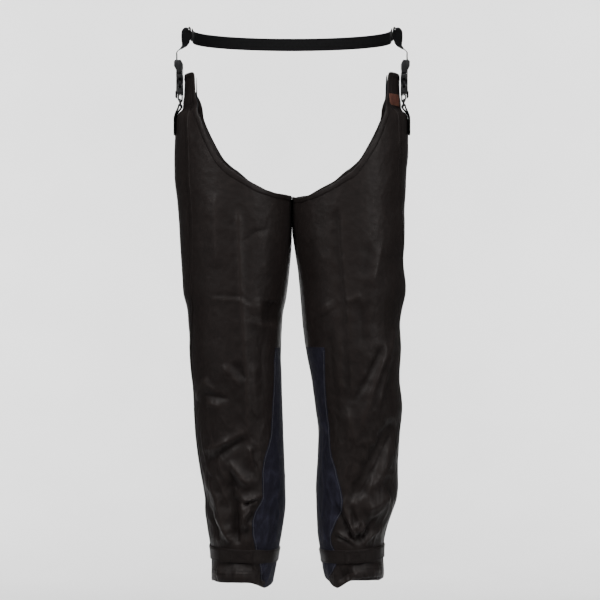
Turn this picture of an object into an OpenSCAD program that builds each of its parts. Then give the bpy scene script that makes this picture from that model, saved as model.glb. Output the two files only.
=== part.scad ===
// Pair of full-wrap protective leg chaps hung from a waist strap.
// Origin: centre of the wearer's waist at strap height. +Z up, -Y is the
// front, +X is the wearer's left. Each leg is drawn on +X and the right one
// is mirrored, with its own stance outline.

/* [Leg] */
// Height from the waist strap's centre down to the hem
leg_len = 1075; // [1070:1:1080]
// Squareness of the leg section (2 is an ellipse)
section_n = 2.3; // [2.1:0.1:2.6]
// Height of the knee axis below the waist
knee_drop = 615; // [605:5:625]
// Half height of the soft zone at the knee
knee_half = 110; // [105:5:115]
// Depth position of the knee axis
knee_y = 8; // [0:1:12]

/* [Cloth layers] */
// Outer waxed cloth thickness
cloth_t = 1.2; // [0.8:0.1:1.3]
// Cut-resistant pad pack thickness
pad_t = 3.2; // [2.6:0.1:4.2]
// Lining thickness
lining_t = 0.9; // [0.6:0.1:0.9]
// Width of the facing turned in along the top edge
facing_w = 24; // [18:1:30]
// Width of the hem facing
hem_w = 25; // [18:1:28]

/* [Ankle strap] */
// Ankle strap width
ankle_w = 27; // [22:1:28]
// Height of the ankle strap's centre above the hem
ankle_up = 71; // [66:1:76]

/* [Waist strap] */
// Webbing width
web_w = 25; // [20:1:25]
// Webbing thickness
web_t = 1.6; // [1.2:0.1:1.6]
// Half width of the waist at the strap
waist_half_w = 192; // [190:1:192]
// Depth of the strap behind the hips
waist_back = 126; // [118:1:132]
// Depth position of the hip hardware
hip_y = -31; // [-35:1:-25]

/* [Buckle] */
// Mid-plane of the buckle, out from the centre
buckle_x = 216; // [216:0.5:216.5]
// Buckle thickness
buckle_t = 10; // [9.6:0.2:10]
// Buckle half width
buckle_hw = 18.5; // [18.2:0.1:19]
// Ring wire radius
ring_r = 1.5; // [1.3:0.1:1.6]

/* [Hidden] */

OIL = [0.13, 0.115, 0.11];
NAVY = [0.11, 0.12, 0.17];
WEB = [0.06, 0.06, 0.065];
HARD = [0.09, 0.09, 0.1];

hem_z = -leg_len;
knee_z = -knee_drop;
knee_top = knee_z + knee_half;
knee_low = knee_z - knee_half;
split = 0.4;

// Outer edge of each leg, as distance from the middle plane by height.
// The left leg stands a little wider at the calf than the right one.
l_out = [[-1080, 178], [-1000, 178], [-960, 190], [-900, 205], [-800, 207], [-700, 213],
  [-600, 214], [-500, 218], [-400, 221], [-310, 222], [-230, 228], [-190, 227.5],
  [-160, 227], [-140, 210], [-70, 210]];
l_in = [[-1080, 66], [-1050, 64], [-1000, 56], [-960, 51], [-900, 49], [-800, 53],
  [-700, 44], [-600, 27], [-500, 16], [-400, 5], [-350, 2], [-70, 2]];
r_out = [[-1080, 156], [-1050, 156], [-1000, 158], [-900, 168], [-800, 184], [-700, 191],
  [-600, 201], [-500, 209], [-400, 218], [-310, 225], [-230, 229], [-190, 227.5],
  [-160, 227], [-140, 210], [-70, 210]];
r_in = [[-1080, 39], [-1050, 36], [-1000, 27], [-900, 14], [-800, 17], [-700, 19],
  [-600, 21], [-500, 11], [-400, 3], [-350, 2], [-70, 2]];
// Front and back of the leg by height, the same on both legs.
y_front = [[-1080, -80], [-1000, -73], [-900, -80], [-800, -84], [-700, -90],
  [-600, -96], [-500, -102], [-400, -108], [-310, -112], [-190, -114], [-70, -112]];
y_back = [[-1080, 90], [-1000, 84], [-900, 92], [-800, 96], [-700, 94],
  [-600, 92], [-500, 102], [-400, 112], [-310, 118], [-190, 118], [-70, 114]];

// Top edge by angle: 0 is the outer side, 90 the front, 180 the inner side,
// -90 the back.
seam_a = 36;
top_edge = [[-180, -312], [-160, -312], [-130, -305], [-100, -275], [-80, -232],
  [-60, -160], [-30, -90], [-10, -77], [seam_a, -77], [38, -104], [40, -132],
  [48, -158], [56, -190], [64, -215], [72, -238], [80, -252], [96, -274],
  [116, -294], [136, -305], [164, -311], [180, -312]];

// Angles at which every cloth layer is sampled.
front_angles = [seam_a, 38, 40, 48, 56, 64, 72, 80, 88, 96, 106, 116, 126, 136, 146, 156, 164, 172, 180];
back_angles = [for (p = [-180 : 12 : 24]) p, seam_a];

function sgnpow(c, e) = sign(c) * pow(abs(c), e);
function sec(s, z) = s > 0
  ? [lookup(z, l_in), lookup(z, l_out), lookup(z, y_front), lookup(z, y_back)]
  : [lookup(z, r_in), lookup(z, r_out), lookup(z, y_front), lookup(z, y_back)];
// Point on the leg at an angle, height and distance outside the cloth's face.
function on_leg(s, a, z, off) = let (
    q = sec(s, z), e = 2 / section_n,
    hx = (q[1] - q[0]) / 2, hy = (q[3] - q[2]) / 2)
  [(q[0] + q[1]) / 2 + (hx + off) * sgnpow(cos(a), e),
   (q[2] + q[3]) / 2 - (hy + off) * sgnpow(sin(a), e), z];

// Heights at which the outline bends. Every layer has a row of points at each
// of these, so the layers stay parallel all the way.
bend_z = [-1050, -1000, -960, -900, -800, -700, -600, -500, -400, -350, -310, -230, -190, -160, -140];
// Height of row j of n in a column from lo to hi: on its bend where the column
// reaches that far, or else packed closely against the column's end.
function row_z(zs, j, n, lo, hi) =
  j == 0 ? lo : j == n ? hi : max(lo + 0.5 * j, min(hi - 0.5 * (n - j), zs[j - 1]));

// A curved sheet with thickness. ang: list of angles, lo and hi: bottom and
// top heights at each of those angles, off0 and off1: inner and outer faces,
// ring: true if the ends meet.
module sheet(s, ang, lo, hi, off0, off1, ring = false) {
  m = len(ang);
  zs = [for (z = bend_z) if (z > min(lo) + 1 && z < max(hi) - 1) z];
  n = len(zs) + 1;
  w = n + 1;
  pts = [for (o = [off1, off0]) for (i = [0 : m - 1]) for (j = [0 : n])
    on_leg(s, ang[i], row_z(zs, j, n, lo[i], hi[i]), o)];
  k = m * w;
  last = ring ? m - 1 : m - 2;
  quads = [
    for (i = [0 : last]) let (u = (i + 1) % m) for (j = [0 : n - 1]) each [
      [i * w + j, u * w + j, u * w + j + 1, i * w + j + 1],
      [k + i * w + j + 1, k + u * w + j + 1, k + u * w + j, k + i * w + j]],
    for (i = [0 : last]) let (u = (i + 1) % m) each [
      [u * w, i * w, k + i * w, k + u * w],
      [i * w + n, u * w + n, k + u * w + n, k + i * w + n]],
    if (!ring) for (j = [0 : n - 1]) each [
      [j, j + 1, k + j + 1, k + j],
      [(m - 1) * w + j + 1, (m - 1) * w + j, k + (m - 1) * w + j, k + (m - 1) * w + j + 1]]];
  polyhedron(points = pts, faces = [for (q = quads) each [[q[0], q[1], q[2]], [q[0], q[2], q[3]]]]);
}

function flat(ang, z) = [for (a = ang) z];
function edge(ang, d) = [for (a = ang) lookup(a, top_edge) - d];
// Angles of a list kept between two limits.
function part_of(ang, a0, a1) = [for (a = ang) if (a >= a0 && a <= a1) a];

module side(s) { if (s > 0) children(); else mirror([1, 0, 0]) children(); }
// A profile drawn in X and Z, as thick as w along Y and centred on the hardware.
module across(w) {
  translate([0, hip_y + w / 2, 0]) rotate([90, 0, 0]) linear_extrude(w) children();
}
// A profile drawn in Y and Z, between two X planes.
module along_x(x0, x1) {
  translate([x0, hip_y, 0]) rotate([90, 0, 90]) linear_extrude(x1 - x0) children();
}

// ---- waist strap ----
module waist_webbing() color(WEB) {
  n = 48;
  translate([0, 0, -web_w / 2]) linear_extrude(web_w)
    polygon([
      for (i = [0 : n]) let (a = 180 * i / n) [(waist_half_w + web_t) * cos(a), (waist_back + web_t) * sin(a)],
      for (i = [n : -1 : 0]) let (a = 180 * i / n) [waist_half_w * cos(a), waist_back * sin(a)]]);
  for (s = [-1, 1]) side(s) {
    translate([waist_half_w, hip_y, -web_w / 2]) cube([web_t, 0.2 - hip_y, web_w]);
    translate([waist_half_w, hip_y, 0]) rotate([0, 90, 0]) cylinder(r = web_w / 2, h = web_t, $fn = 64);
  }
}

ply_x = buckle_x + 6;
module side_strap(s) color(WEB) side(s) {
  lap = waist_half_w + web_t + 0.4;
  across(web_w) polygon([[lap, 0], [lap + web_t, 0], [lap + web_t, -8.4], [ply_x + web_t, -29],
    [ply_x + web_t, -126], [ply_x, -126], [ply_x, -29.8], [lap, -9.2]]);
  translate([lap, hip_y, 0]) rotate([0, 90, 0]) cylinder(r = web_w / 2, h = web_t, $fn = 64);
}

// ---- side-release buckle ----
bx0 = buckle_x - buckle_t / 2;
bx1 = buckle_x + buckle_t / 2;
mouth_z = -76;
bar_z = -113.5;
ring_top = -126;
ring_low = -138;
loop_ri = 2.8;
loop_ro = 4.3;
root_z = -75;

module plug_outline(z0, z1, hw, c) polygon([[-hw + c, z0], [hw - c, z0], [hw, z0 + c], [hw, z1 - c],
  [hw - c, z1], [-hw + c, z1], [-hw, z1 - c], [-hw, z0 + c]]);

module buckle_plug(s) color(HARD) side(s) {
  // flange that seats on the socket's mouth
  along_x(bx0 + 0.3, bx1 - 0.3) plug_outline(root_z, -68, 17, 1);
  // cheeks of the ladder lock
  for (m = [-1, 1]) translate([0, hip_y + m * 15.3, 0]) rotate([90, 0, 0])
    translate([0, 0, -1.7]) linear_extrude(3.4)
      polygon([[bx0 + 0.3, -70], [bx0 + 0.3, -55], [bx0 + 3, -50], [ply_x + 3, -50],
        [ply_x + 5.4, -53], [ply_x + 5.4, -62], [ply_x + 2, -68], [bx1 - 0.3, -70]]);
  // bars that the webbing runs between
  for (b = [[ply_x - 2.4, -53.4, 1.9], [ply_x - 2.3, -62.5, 1.8], [ply_x + 3.8, -57.6, 1.6]])
    translate([b[0], hip_y - 15, b[1]]) rotate([-90, 0, 0]) cylinder(r = b[2], h = 30, $fn = 40);
  // centre guide tongue
  along_x(buckle_x - 2, buckle_x + 2) polygon([[-3.4, root_z + 1], [3.4, root_z + 1], [3.4, -97], [2, -100], [-2, -100], [-3.4, -97]]);
}

module prong(m) {
  along_x(buckle_x - 2.3, buckle_x + 2.3) mirror([m < 0 ? 1 : 0, 0])
    polygon([[8, root_z - 0.9], [10.6, root_z - 0.9], [10.8, -88], [13.5, -89.5], [16.3, -92.5],
      [16.3, -98], [14.6, -101], [11, -104], [8.6, -104], [8, -100]]);
  translate([buckle_x - 2.3, hip_y + m * 9.3, root_z - 1.9]) rotate([0, 90, 0]) cylinder(r = 1.6, h = 4.6, $fn = 40);
}
module plug_prong_front(s) color(HARD) side(s) prong(-1);
module plug_prong_rear(s) color(HARD) side(s) prong(1);

module buckle_socket(s) color(HARD) side(s) {
  difference() {
    along_x(bx0, bx1) plug_outline(-116, mouth_z, buckle_hw, 2.5);
    // room for the tongue and prongs, open at the mouth
    translate([buckle_x - 2.8, hip_y - 16.9, -105]) cube([5.6, 33.8, 40]);
    // side windows where the prong heads are squeezed
    translate([buckle_x - 2.8, hip_y - 30, -105]) cube([5.6, 60, 20]);
    // thumb hollows in both faces
    for (m = [-1, 1]) translate([buckle_x, hip_y + m * 22.5, -95]) rotate([0, 90, 0])
      cylinder(r = 9, h = 40, center = true, $fn = 64);
    // slot that the webbing loop passes through
    translate([bx0 - 1, hip_y - 13.2, -120]) cube([buckle_t + 2, 26.4, 12.5]);
  }
  translate([buckle_x, hip_y - 14, bar_z]) rotate([-90, 0, 0]) cylinder(r = 2.2, h = 28, $fn = 48);
}

module loop_of(z0, z1) difference() {
  union() {
    translate([buckle_x, z0]) circle(r = loop_ro, $fn = 48);
    translate([buckle_x, z1]) circle(r = loop_ro, $fn = 48);
    translate([buckle_x - loop_ro, z0]) square([2 * loop_ro, z1 - z0]);
  }
  translate([buckle_x, z0]) circle(r = loop_ri, $fn = 48);
  translate([buckle_x, z1]) circle(r = loop_ri, $fn = 48);
  translate([buckle_x - loop_ri, z0]) square([2 * loop_ri, z1 - z0]);
}
module buckle_loop(s) color(WEB) side(s) across(web_w) loop_of(ring_top, bar_z);

module hip_ring(s) color(HARD) side(s) {
  for (z = [ring_top, ring_low]) translate([buckle_x, hip_y - 14.5, z]) rotate([-90, 0, 0])
    cylinder(r = ring_r, h = 29, $fn = 40);
  for (m = [-1, 1]) translate([buckle_x, hip_y + m * 14.5, ring_low]) {
    cylinder(r = ring_r, h = ring_top - ring_low, $fn = 40);
    sphere(r = ring_r, $fn = 40);
    translate([0, 0, ring_top - ring_low]) sphere(r = ring_r, $fn = 40);
  }
}

module hip_tab(s) color(WEB) side(s) across(web_w) difference() {
  polygon([
    for (q = [-20 : 9 : 250]) [buckle_x + loop_ro * cos(q), ring_low + loop_ro * sin(q)],
    [226.7, -156.8], [226.7, -195], [228.4, -195], [228.4, -155.8]]);
  translate([buckle_x, ring_low]) circle(r = loop_ri, $fn = 48);
}

// ---- thigh ----
// the outer and back panel stops a hair short of both seams
shell_back_angles = concat([-179.6], [for (p = back_angles) if (p > -175 && p < 30) p], [seam_a - 0.4]);
pad_angles = part_of(front_angles, 40, 164);
pad_o = -cloth_t - 1.3;
lining_o = pad_o - pad_t - 0.3;
module thigh_front_shell(s) color(OIL) side(s)
  sheet(s, front_angles, flat(front_angles, knee_top + split), edge(front_angles, 0), -cloth_t, 0);
module thigh_back_shell(s) color(OIL) side(s)
  sheet(s, shell_back_angles, flat(shell_back_angles, knee_top + split), edge(shell_back_angles, 0), -cloth_t, 0);
module thigh_pad(s) color([0.62, 0.56, 0.2]) side(s)
  sheet(s, pad_angles, flat(pad_angles, knee_top + split), [for (a = pad_angles) min(-175, lookup(a, top_edge) - 32)],
    pad_o - pad_t, pad_o);
module thigh_lining(s) color([0.2, 0.2, 0.21]) side(s)
  sheet(s, front_angles, flat(front_angles, knee_top + split), edge(front_angles, 1), lining_o - lining_t, lining_o);
module top_facing(s) color(OIL) side(s) {
  a = part_of(front_angles, 40, 180);
  sheet(s, a, edge(a, facing_w), edge(a, 1.5), -cloth_t - 1.3, -cloth_t - 0.7);
}
module label_patch() color([0.42, 0.24, 0.2]) {
  a = [12, 24, 36];
  sheet(1, a, flat(a, -138), flat(a, -118), 0.3, 1.8);
}

// ---- knee: the soft zone that folds ----
module knee_band(s, a, o0, o1) sheet(s, a, flat(a, knee_low), flat(a, knee_top), o0, o1);
module knee_front_shell(s) color(OIL) side(s) knee_band(s, front_angles, -cloth_t, 0);
module knee_back_shell(s) color(OIL) side(s) knee_band(s, shell_back_angles, -cloth_t, 0);
module knee_pad(s) color([0.62, 0.56, 0.2]) side(s) knee_band(s, pad_angles, pad_o - pad_t, pad_o);
module knee_lining(s) color([0.2, 0.2, 0.21]) side(s) knee_band(s, front_angles, lining_o - lining_t, lining_o);

// ---- shin ----
hem_front = [for (a = front_angles) hem_z + 2 + 6 * pow(sin(a), 2)];
shin_hi = knee_low - split;
module shin_front_shell(s) color(OIL) side(s)
  sheet(s, front_angles, hem_front, flat(front_angles, shin_hi), -cloth_t, 0);
module calf_back_shell(s) color(OIL) side(s)
  sheet(s, shell_back_angles, flat(shell_back_angles, hem_z), flat(shell_back_angles, shin_hi), -cloth_t, 0);
module shin_pad(s) color([0.62, 0.56, 0.2]) side(s)
  sheet(s, pad_angles, flat(pad_angles, hem_z + 45), flat(pad_angles, shin_hi), pad_o - pad_t, pad_o);
module shin_lining(s) color([0.2, 0.2, 0.21]) side(s)
  sheet(s, front_angles, flat(front_angles, hem_z + 12), flat(front_angles, shin_hi), lining_o - lining_t, lining_o);

// Denim reinforcement on the inner calf, pointed at the top.
calf_fore = [[-1080, 130], [-1040, 112], [-1000, 106], [-960, 103], [-925, 103], [-890, 108],
  [-850, 118], [-810, 128], [-760, 139], [-700, 144], [-616, 150]];
calf_aft = [[-1080, 240], [-1000, 236], [-900, 226], [-800, 214], [-700, 188], [-616, 153]];
module calf_panel(s) color(NAVY) side(s) {
  // rows at the bends of the leg and of the panel's own edges
  zs = [hem_z + 3, -1050, -1040, -1020, -1000, -980, -960, -925, -900, -890, -850, -825, -800, -780, -760,
    -740, -720, -700, -675, -650, -630, knee_z - 1];
  n = len(zs) - 1;
  c = 13;
  w = c + 1;
  off = [1.8, 0.9];
  pts = [for (o = off) for (j = [0 : n]) for (i = [0 : c]) let (
      z = zs[j],
      a0 = lookup(z, calf_fore), a1 = lookup(z, calf_aft))
    on_leg(s, a0 + (a1 - a0) * i / c, z, o)];
  k = (n + 1) * w;
  quads = [
    for (j = [0 : n - 1]) for (i = [0 : c - 1]) each [
      [j * w + i, j * w + i + 1, (j + 1) * w + i + 1, (j + 1) * w + i],
      [k + (j + 1) * w + i, k + (j + 1) * w + i + 1, k + j * w + i + 1, k + j * w + i]],
    for (i = [0 : c - 1]) each [
      [i + 1, i, k + i, k + i + 1],
      [n * w + i, n * w + i + 1, k + n * w + i + 1, k + n * w + i]],
    for (j = [0 : n - 1]) each [
      [j * w, (j + 1) * w, k + (j + 1) * w, k + j * w],
      [(j + 1) * w + c, j * w + c, k + j * w + c, k + (j + 1) * w + c]]];
  polyhedron(points = pts, faces = [for (q = quads) each [[q[0], q[1], q[2]], [q[0], q[2], q[3]]]]);
}
module hem_facing(s) color(OIL) side(s) {
  a = concat([for (p = back_angles) if (p > -180) p], [for (p = front_angles) if (p > seam_a) p]);
  sheet(s, a, flat(a, hem_z + 9), flat(a, hem_z + 9 + hem_w), -cloth_t - 1.0, -cloth_t - 0.3, ring = true);
}

// ---- ankle strap ----
az0 = hem_z + ankle_up - ankle_w / 2;
az1 = az0 + ankle_w;
module ankle_strap(s) color(OIL) side(s) {
  a = concat(part_of(front_angles, 104, 180), [for (p = [192 : 12 : 384]) p], [396, 400, 408]);
  sheet(s, a, flat(a, az0), flat(a, az1), 2.5, 3.9);
}
tab_angles = [54, 56, 64, 72, 80, 88, 96, 98];
module ankle_loop_patch(s) color([0.1, 0.1, 0.11]) side(s) {
  a = part_of(front_angles, 64, 96);
  sheet(s, a, flat(a, az0 + 4), flat(a, az1 - 4), 0.3, 1.1);
}
module ankle_tab(s) color(OIL) side(s)
  sheet(s, tab_angles, flat(tab_angles, az0), flat(tab_angles, az1), 2.6, 4.1);
module ankle_hook_patch(s) color([0.1, 0.1, 0.11]) side(s) {
  a = part_of(front_angles, 72, 96);
  sheet(s, a, flat(a, az0 + 4), flat(a, az1 - 4), 1.5, 2.3);
}

waist_webbing();
label_patch();
side_strap(1);  // left_side_strap
side_strap(-1);  // right_side_strap
buckle_plug(1);  // left_buckle_plug
buckle_plug(-1);  // right_buckle_plug
plug_prong_front(1);  // left_plug_prong_front
plug_prong_front(-1);  // right_plug_prong_front
plug_prong_rear(1);  // left_plug_prong_rear
plug_prong_rear(-1);  // right_plug_prong_rear
buckle_socket(1);  // left_buckle_socket
buckle_socket(-1);  // right_buckle_socket
buckle_loop(1);  // left_buckle_loop
buckle_loop(-1);  // right_buckle_loop
hip_ring(1);  // left_hip_ring
hip_ring(-1);  // right_hip_ring
hip_tab(1);  // left_hip_tab
hip_tab(-1);  // right_hip_tab
thigh_front_shell(1);  // left_thigh_front_shell
thigh_front_shell(-1);  // right_thigh_front_shell
thigh_back_shell(1);  // left_thigh_back_shell
thigh_back_shell(-1);  // right_thigh_back_shell
thigh_pad(1);  // left_thigh_pad
thigh_pad(-1);  // right_thigh_pad
thigh_lining(1);  // left_thigh_lining
thigh_lining(-1);  // right_thigh_lining
top_facing(1);  // left_top_facing
top_facing(-1);  // right_top_facing
knee_front_shell(1);  // left_knee_front_shell
knee_front_shell(-1);  // right_knee_front_shell
knee_back_shell(1);  // left_knee_back_shell
knee_back_shell(-1);  // right_knee_back_shell
knee_pad(1);  // left_knee_pad
knee_pad(-1);  // right_knee_pad
knee_lining(1);  // left_knee_lining
knee_lining(-1);  // right_knee_lining
shin_front_shell(1);  // left_shin_front_shell
shin_front_shell(-1);  // right_shin_front_shell
calf_back_shell(1);  // left_calf_back_shell
calf_back_shell(-1);  // right_calf_back_shell
shin_pad(1);  // left_shin_pad
shin_pad(-1);  // right_shin_pad
shin_lining(1);  // left_shin_lining
shin_lining(-1);  // right_shin_lining
calf_panel(1);  // left_calf_panel
calf_panel(-1);  // right_calf_panel
hem_facing(1);  // left_hem_facing
hem_facing(-1);  // right_hem_facing
ankle_strap(1);  // left_ankle_strap
ankle_strap(-1);  // right_ankle_strap
ankle_loop_patch(1);  // left_ankle_loop_patch
ankle_loop_patch(-1);  // right_ankle_loop_patch
ankle_tab(1);  // left_ankle_tab
ankle_tab(-1);  // right_ankle_tab
ankle_hook_patch(1);  // left_ankle_hook_patch
ankle_hook_patch(-1);  // right_ankle_hook_patch
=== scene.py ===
import math

import bpy
import bmesh
import numpy as np
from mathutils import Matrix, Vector


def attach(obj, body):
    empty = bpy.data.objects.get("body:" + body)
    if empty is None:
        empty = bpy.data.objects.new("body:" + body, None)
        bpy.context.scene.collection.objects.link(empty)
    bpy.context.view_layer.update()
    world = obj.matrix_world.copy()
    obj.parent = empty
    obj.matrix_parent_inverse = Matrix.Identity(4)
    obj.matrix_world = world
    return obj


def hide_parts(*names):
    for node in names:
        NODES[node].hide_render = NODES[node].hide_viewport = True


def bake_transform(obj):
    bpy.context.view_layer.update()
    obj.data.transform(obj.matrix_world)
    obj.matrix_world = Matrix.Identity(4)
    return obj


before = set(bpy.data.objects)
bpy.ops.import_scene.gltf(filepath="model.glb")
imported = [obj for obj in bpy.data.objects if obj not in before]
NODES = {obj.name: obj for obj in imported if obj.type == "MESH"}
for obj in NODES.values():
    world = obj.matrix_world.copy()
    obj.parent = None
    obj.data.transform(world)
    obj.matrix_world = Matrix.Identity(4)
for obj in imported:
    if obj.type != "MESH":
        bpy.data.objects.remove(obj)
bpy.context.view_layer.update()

MM = 0.001
HY = -31.0            # hip hardware's middle, mm
CAM_D = 4.0           # camera distance, m
CAM_X, CAM_Z = 0.0156, -0.513
PX = 1.95             # mm per picture unit in the plane y = 0


# ------------------------------------------------------------------ noise
class Noise:
    def __init__(self, seed):
        r = np.random.RandomState(seed)
        self.p = np.tile(r.permutation(256), 3)
        t = r.rand(256) * 2 * np.pi
        self.g = np.stack([np.cos(t), np.sin(t)], 1)

    def __call__(self, x, y, per=0):
        x, y = np.broadcast_arrays(np.asarray(x, float), np.asarray(y, float))
        xi, yi = np.floor(x).astype(int), np.floor(y).astype(int)
        xf, yf = x - xi, y - yi
        u = xf ** 3 * (xf * (xf * 6 - 15) + 10)
        v = yf ** 3 * (yf * (yf * 6 - 15) + 10)

        def corner(dx, dy):
            ix = xi + dx
            if per:
                ix = ix % per
            h = self.p[(self.p[ix & 255] + (yi + dy)) & 255]
            g = self.g[h]
            return g[..., 0] * (xf - dx) + g[..., 1] * (yf - dy)

        a = corner(0, 0) * (1 - u) + corner(1, 0) * u
        b = corner(0, 1) * (1 - u) + corner(1, 1) * u
        return (a * (1 - v) + b * v) * 1.42


def smoothstep(a, b, x):
    t = np.clip((np.asarray(x, float) - a) / (b - a), 0, 1)
    return t * t * (3 - 2 * t)


def gauss_rows(v, sigma):
    """1-D gaussian smoothing with held ends."""
    n = int(3 * sigma) + 1
    k = np.exp(-0.5 * (np.arange(-n, n + 1) / sigma) ** 2)
    k /= k.sum()
    return np.convolve(np.pad(v, n, mode="edge"), k, mode="valid")


def spow(c, e):
    return np.sign(c) * np.abs(c) ** e


# ------------------------------------------------------------------ the legs
# distance of the outer and inner edge from the middle plane by height
OUT = {
    "right": [(-1080, 156), (-1052, 156), (-1016, 156), (-993, 158), (-970, 162), (-946, 166), (-923, 169.5),
              (-900, 168.5), (-876, 171.6), (-853, 177), (-829, 181), (-806, 183.5), (-782, 187), (-759, 189),
              (-724, 191), (-701, 191.3), (-677, 193), (-654, 197), (-630, 199), (-607, 200.5), (-584, 199.5),
              (-560, 202), (-537, 203), (-525, 205), (-513, 208.7), (-502, 212), (-478, 213), (-455, 214.5),
              (-408, 218), (-361, 220.3), (-314, 224.2), (-303, 226), (-279, 229), (-233, 229.5), (-198, 228),
              (-165, 227), (-150, 225), (-136, 215), (-120, 211.5), (-70, 210)],
    "left": [(-1080, 177), (-1052, 177.4), (-1040, 178.5), (-1016, 177), (-993, 177.4), (-970, 180), (-946, 187),
             (-923, 195), (-900, 204), (-876, 206.5), (-853, 205), (-829, 205), (-806, 206.7), (-759, 210.6),
             (-724, 214.5), (-701, 213), (-677, 209), (-654, 208.7), (-607, 212), (-584, 210.6), (-560, 209),
             (-537, 212.5), (-513, 218.4), (-502, 221.5), (-478, 221.5), (-455, 217), (-432, 216.4), (-408, 219.5),
             (-361, 220), (-338, 218.8), (-303, 222), (-256, 223.5), (-233, 227), (-198, 226.5), (-165, 226.5),
             (-150, 225), (-136, 215), (-120, 211.5), (-70, 210)],
}
INN = {
    "right": [(-1080, 39), (-1052, 37), (-1040, 33), (-1016, 29.2), (-993, 25.3), (-970, 21.4), (-946, 17.6),
              (-923, 14), (-876, 13.7), (-829, 15.8), (-782, 17.8), (-724, 19.5), (-654, 21.4), (-630, 23),
              (-584, 21.4), (-537, 19), (-513, 12.5), (-478, 8), (-432, 3.6), (-405, 1.6), (-380, -0.6), (-340, -1.6), (-70, -1.6)],
    "left": [(-1080, 67), (-1052, 66), (-1040, 61), (-1016, 58.5), (-993, 54.6), (-970, 51), (-923, 49),
             (-876, 47.5), (-829, 50.7), (-782, 52.6), (-759, 52), (-724, 47), (-677, 41), (-654, 37), (-607, 27.5),
             (-560, 21.4), (-513, 17.6), (-455, 12.6), (-425, 7.6), (-405, 4.4), (-385, 1.2), (-365, -0.8), (-340, -1.6), (-70, -1.6)],
}
Y_FRONT = [(-1080, -80), (-1035, -77), (-1000, -73), (-960, -77), (-900, -80), (-800, -84), (-700, -90), (-600, -96),
           (-500, -102), (-400, -108), (-310, -112), (-190, -114), (-70, -112)]
Y_BACK = [(-1080, 90), (-1035, 88), (-1000, 84), (-960, 89), (-900, 92), (-800, 96), (-700, 94), (-600, 92),
          (-500, 102), (-400, 112), (-310, 118), (-190, 118), (-70, 114)]

# the curved top edge in front, the hem in front and the denim panel's edge,
# as they project on the plane y = 0 (picture units)
TOP_CURVE = {
    "right": [(193.6, 79), (193.9, 95), (196, 106), (200, 119), (206, 135), (212, 147), (218, 157.5), (224, 165),
              (240, 177), (258, 188), (275, 193.6), (289, 196)],
    "left": [(389.0, 76), (388.2, 94), (386.6, 105), (383, 119), (378.6, 132), (373, 143), (366, 154), (360, 163),
             (350.5, 173.5), (334, 184), (317, 193), (301, 198.5)],
}
HEM_CURVE = {
    "right": [(213.5, 580), (220, 582), (235, 582.3), (250, 582.5), (258, 585), (264.5, 588), (270, 585)],
    "left": [(329, 580), (333, 585.5), (337.5, 588.3), (345, 583.3), (352, 579.5), (365, 577), (381, 575.6)],
}
DENIM_FORE = {
    "right": [(275, 348), (275, 353), (274, 382), (272.5, 409), (271, 434), (268.5, 445), (264.5, 457), (262, 472),
              (262.4, 488), (262.4, 497), (259.6, 504), (255, 511), (252.2, 521), (252.6, 535), (254.6, 544),
              (257, 559), (259.6, 568), (261, 579.5), (263.6, 588)],
    "left": [(324.3, 347.5), (324.6, 352), (325, 382), (326.3, 402), (327.7, 418), (330.4, 445), (331.4, 455),
             (335.7, 468), (340.4, 486), (343, 500), (342, 511), (336.6, 521), (331.4, 535), (331.6, 544),
             (335, 551), (338, 562.5), (333.4, 572), (331, 579.5), (330, 588)],
}
# angle of the side seam by height
SEAM = {
    "right": [(-1080, 11), (-800, 13), (-680, 15), (-600, 20), (-545, 29), (-513, 36), (-430, 41), (-338, 44.5),
              (-217, 44.5), (-160, 41), (-120, 37), (-70, 36)],
    "left": [(-1080, 9), (-800, 10), (-640, 11), (-474, 13), (-400, 20), (-318, 29), (-221, 37), (-158, 36), (-70, 36)],
}
TOP_BACK = [(-180, -312), (-160, -312), (-130, -305), (-100, -275), (-80, -232), (-60, -160), (-45, -118),
            (-30, -90), (-10, -78), (20, -77)]

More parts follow.
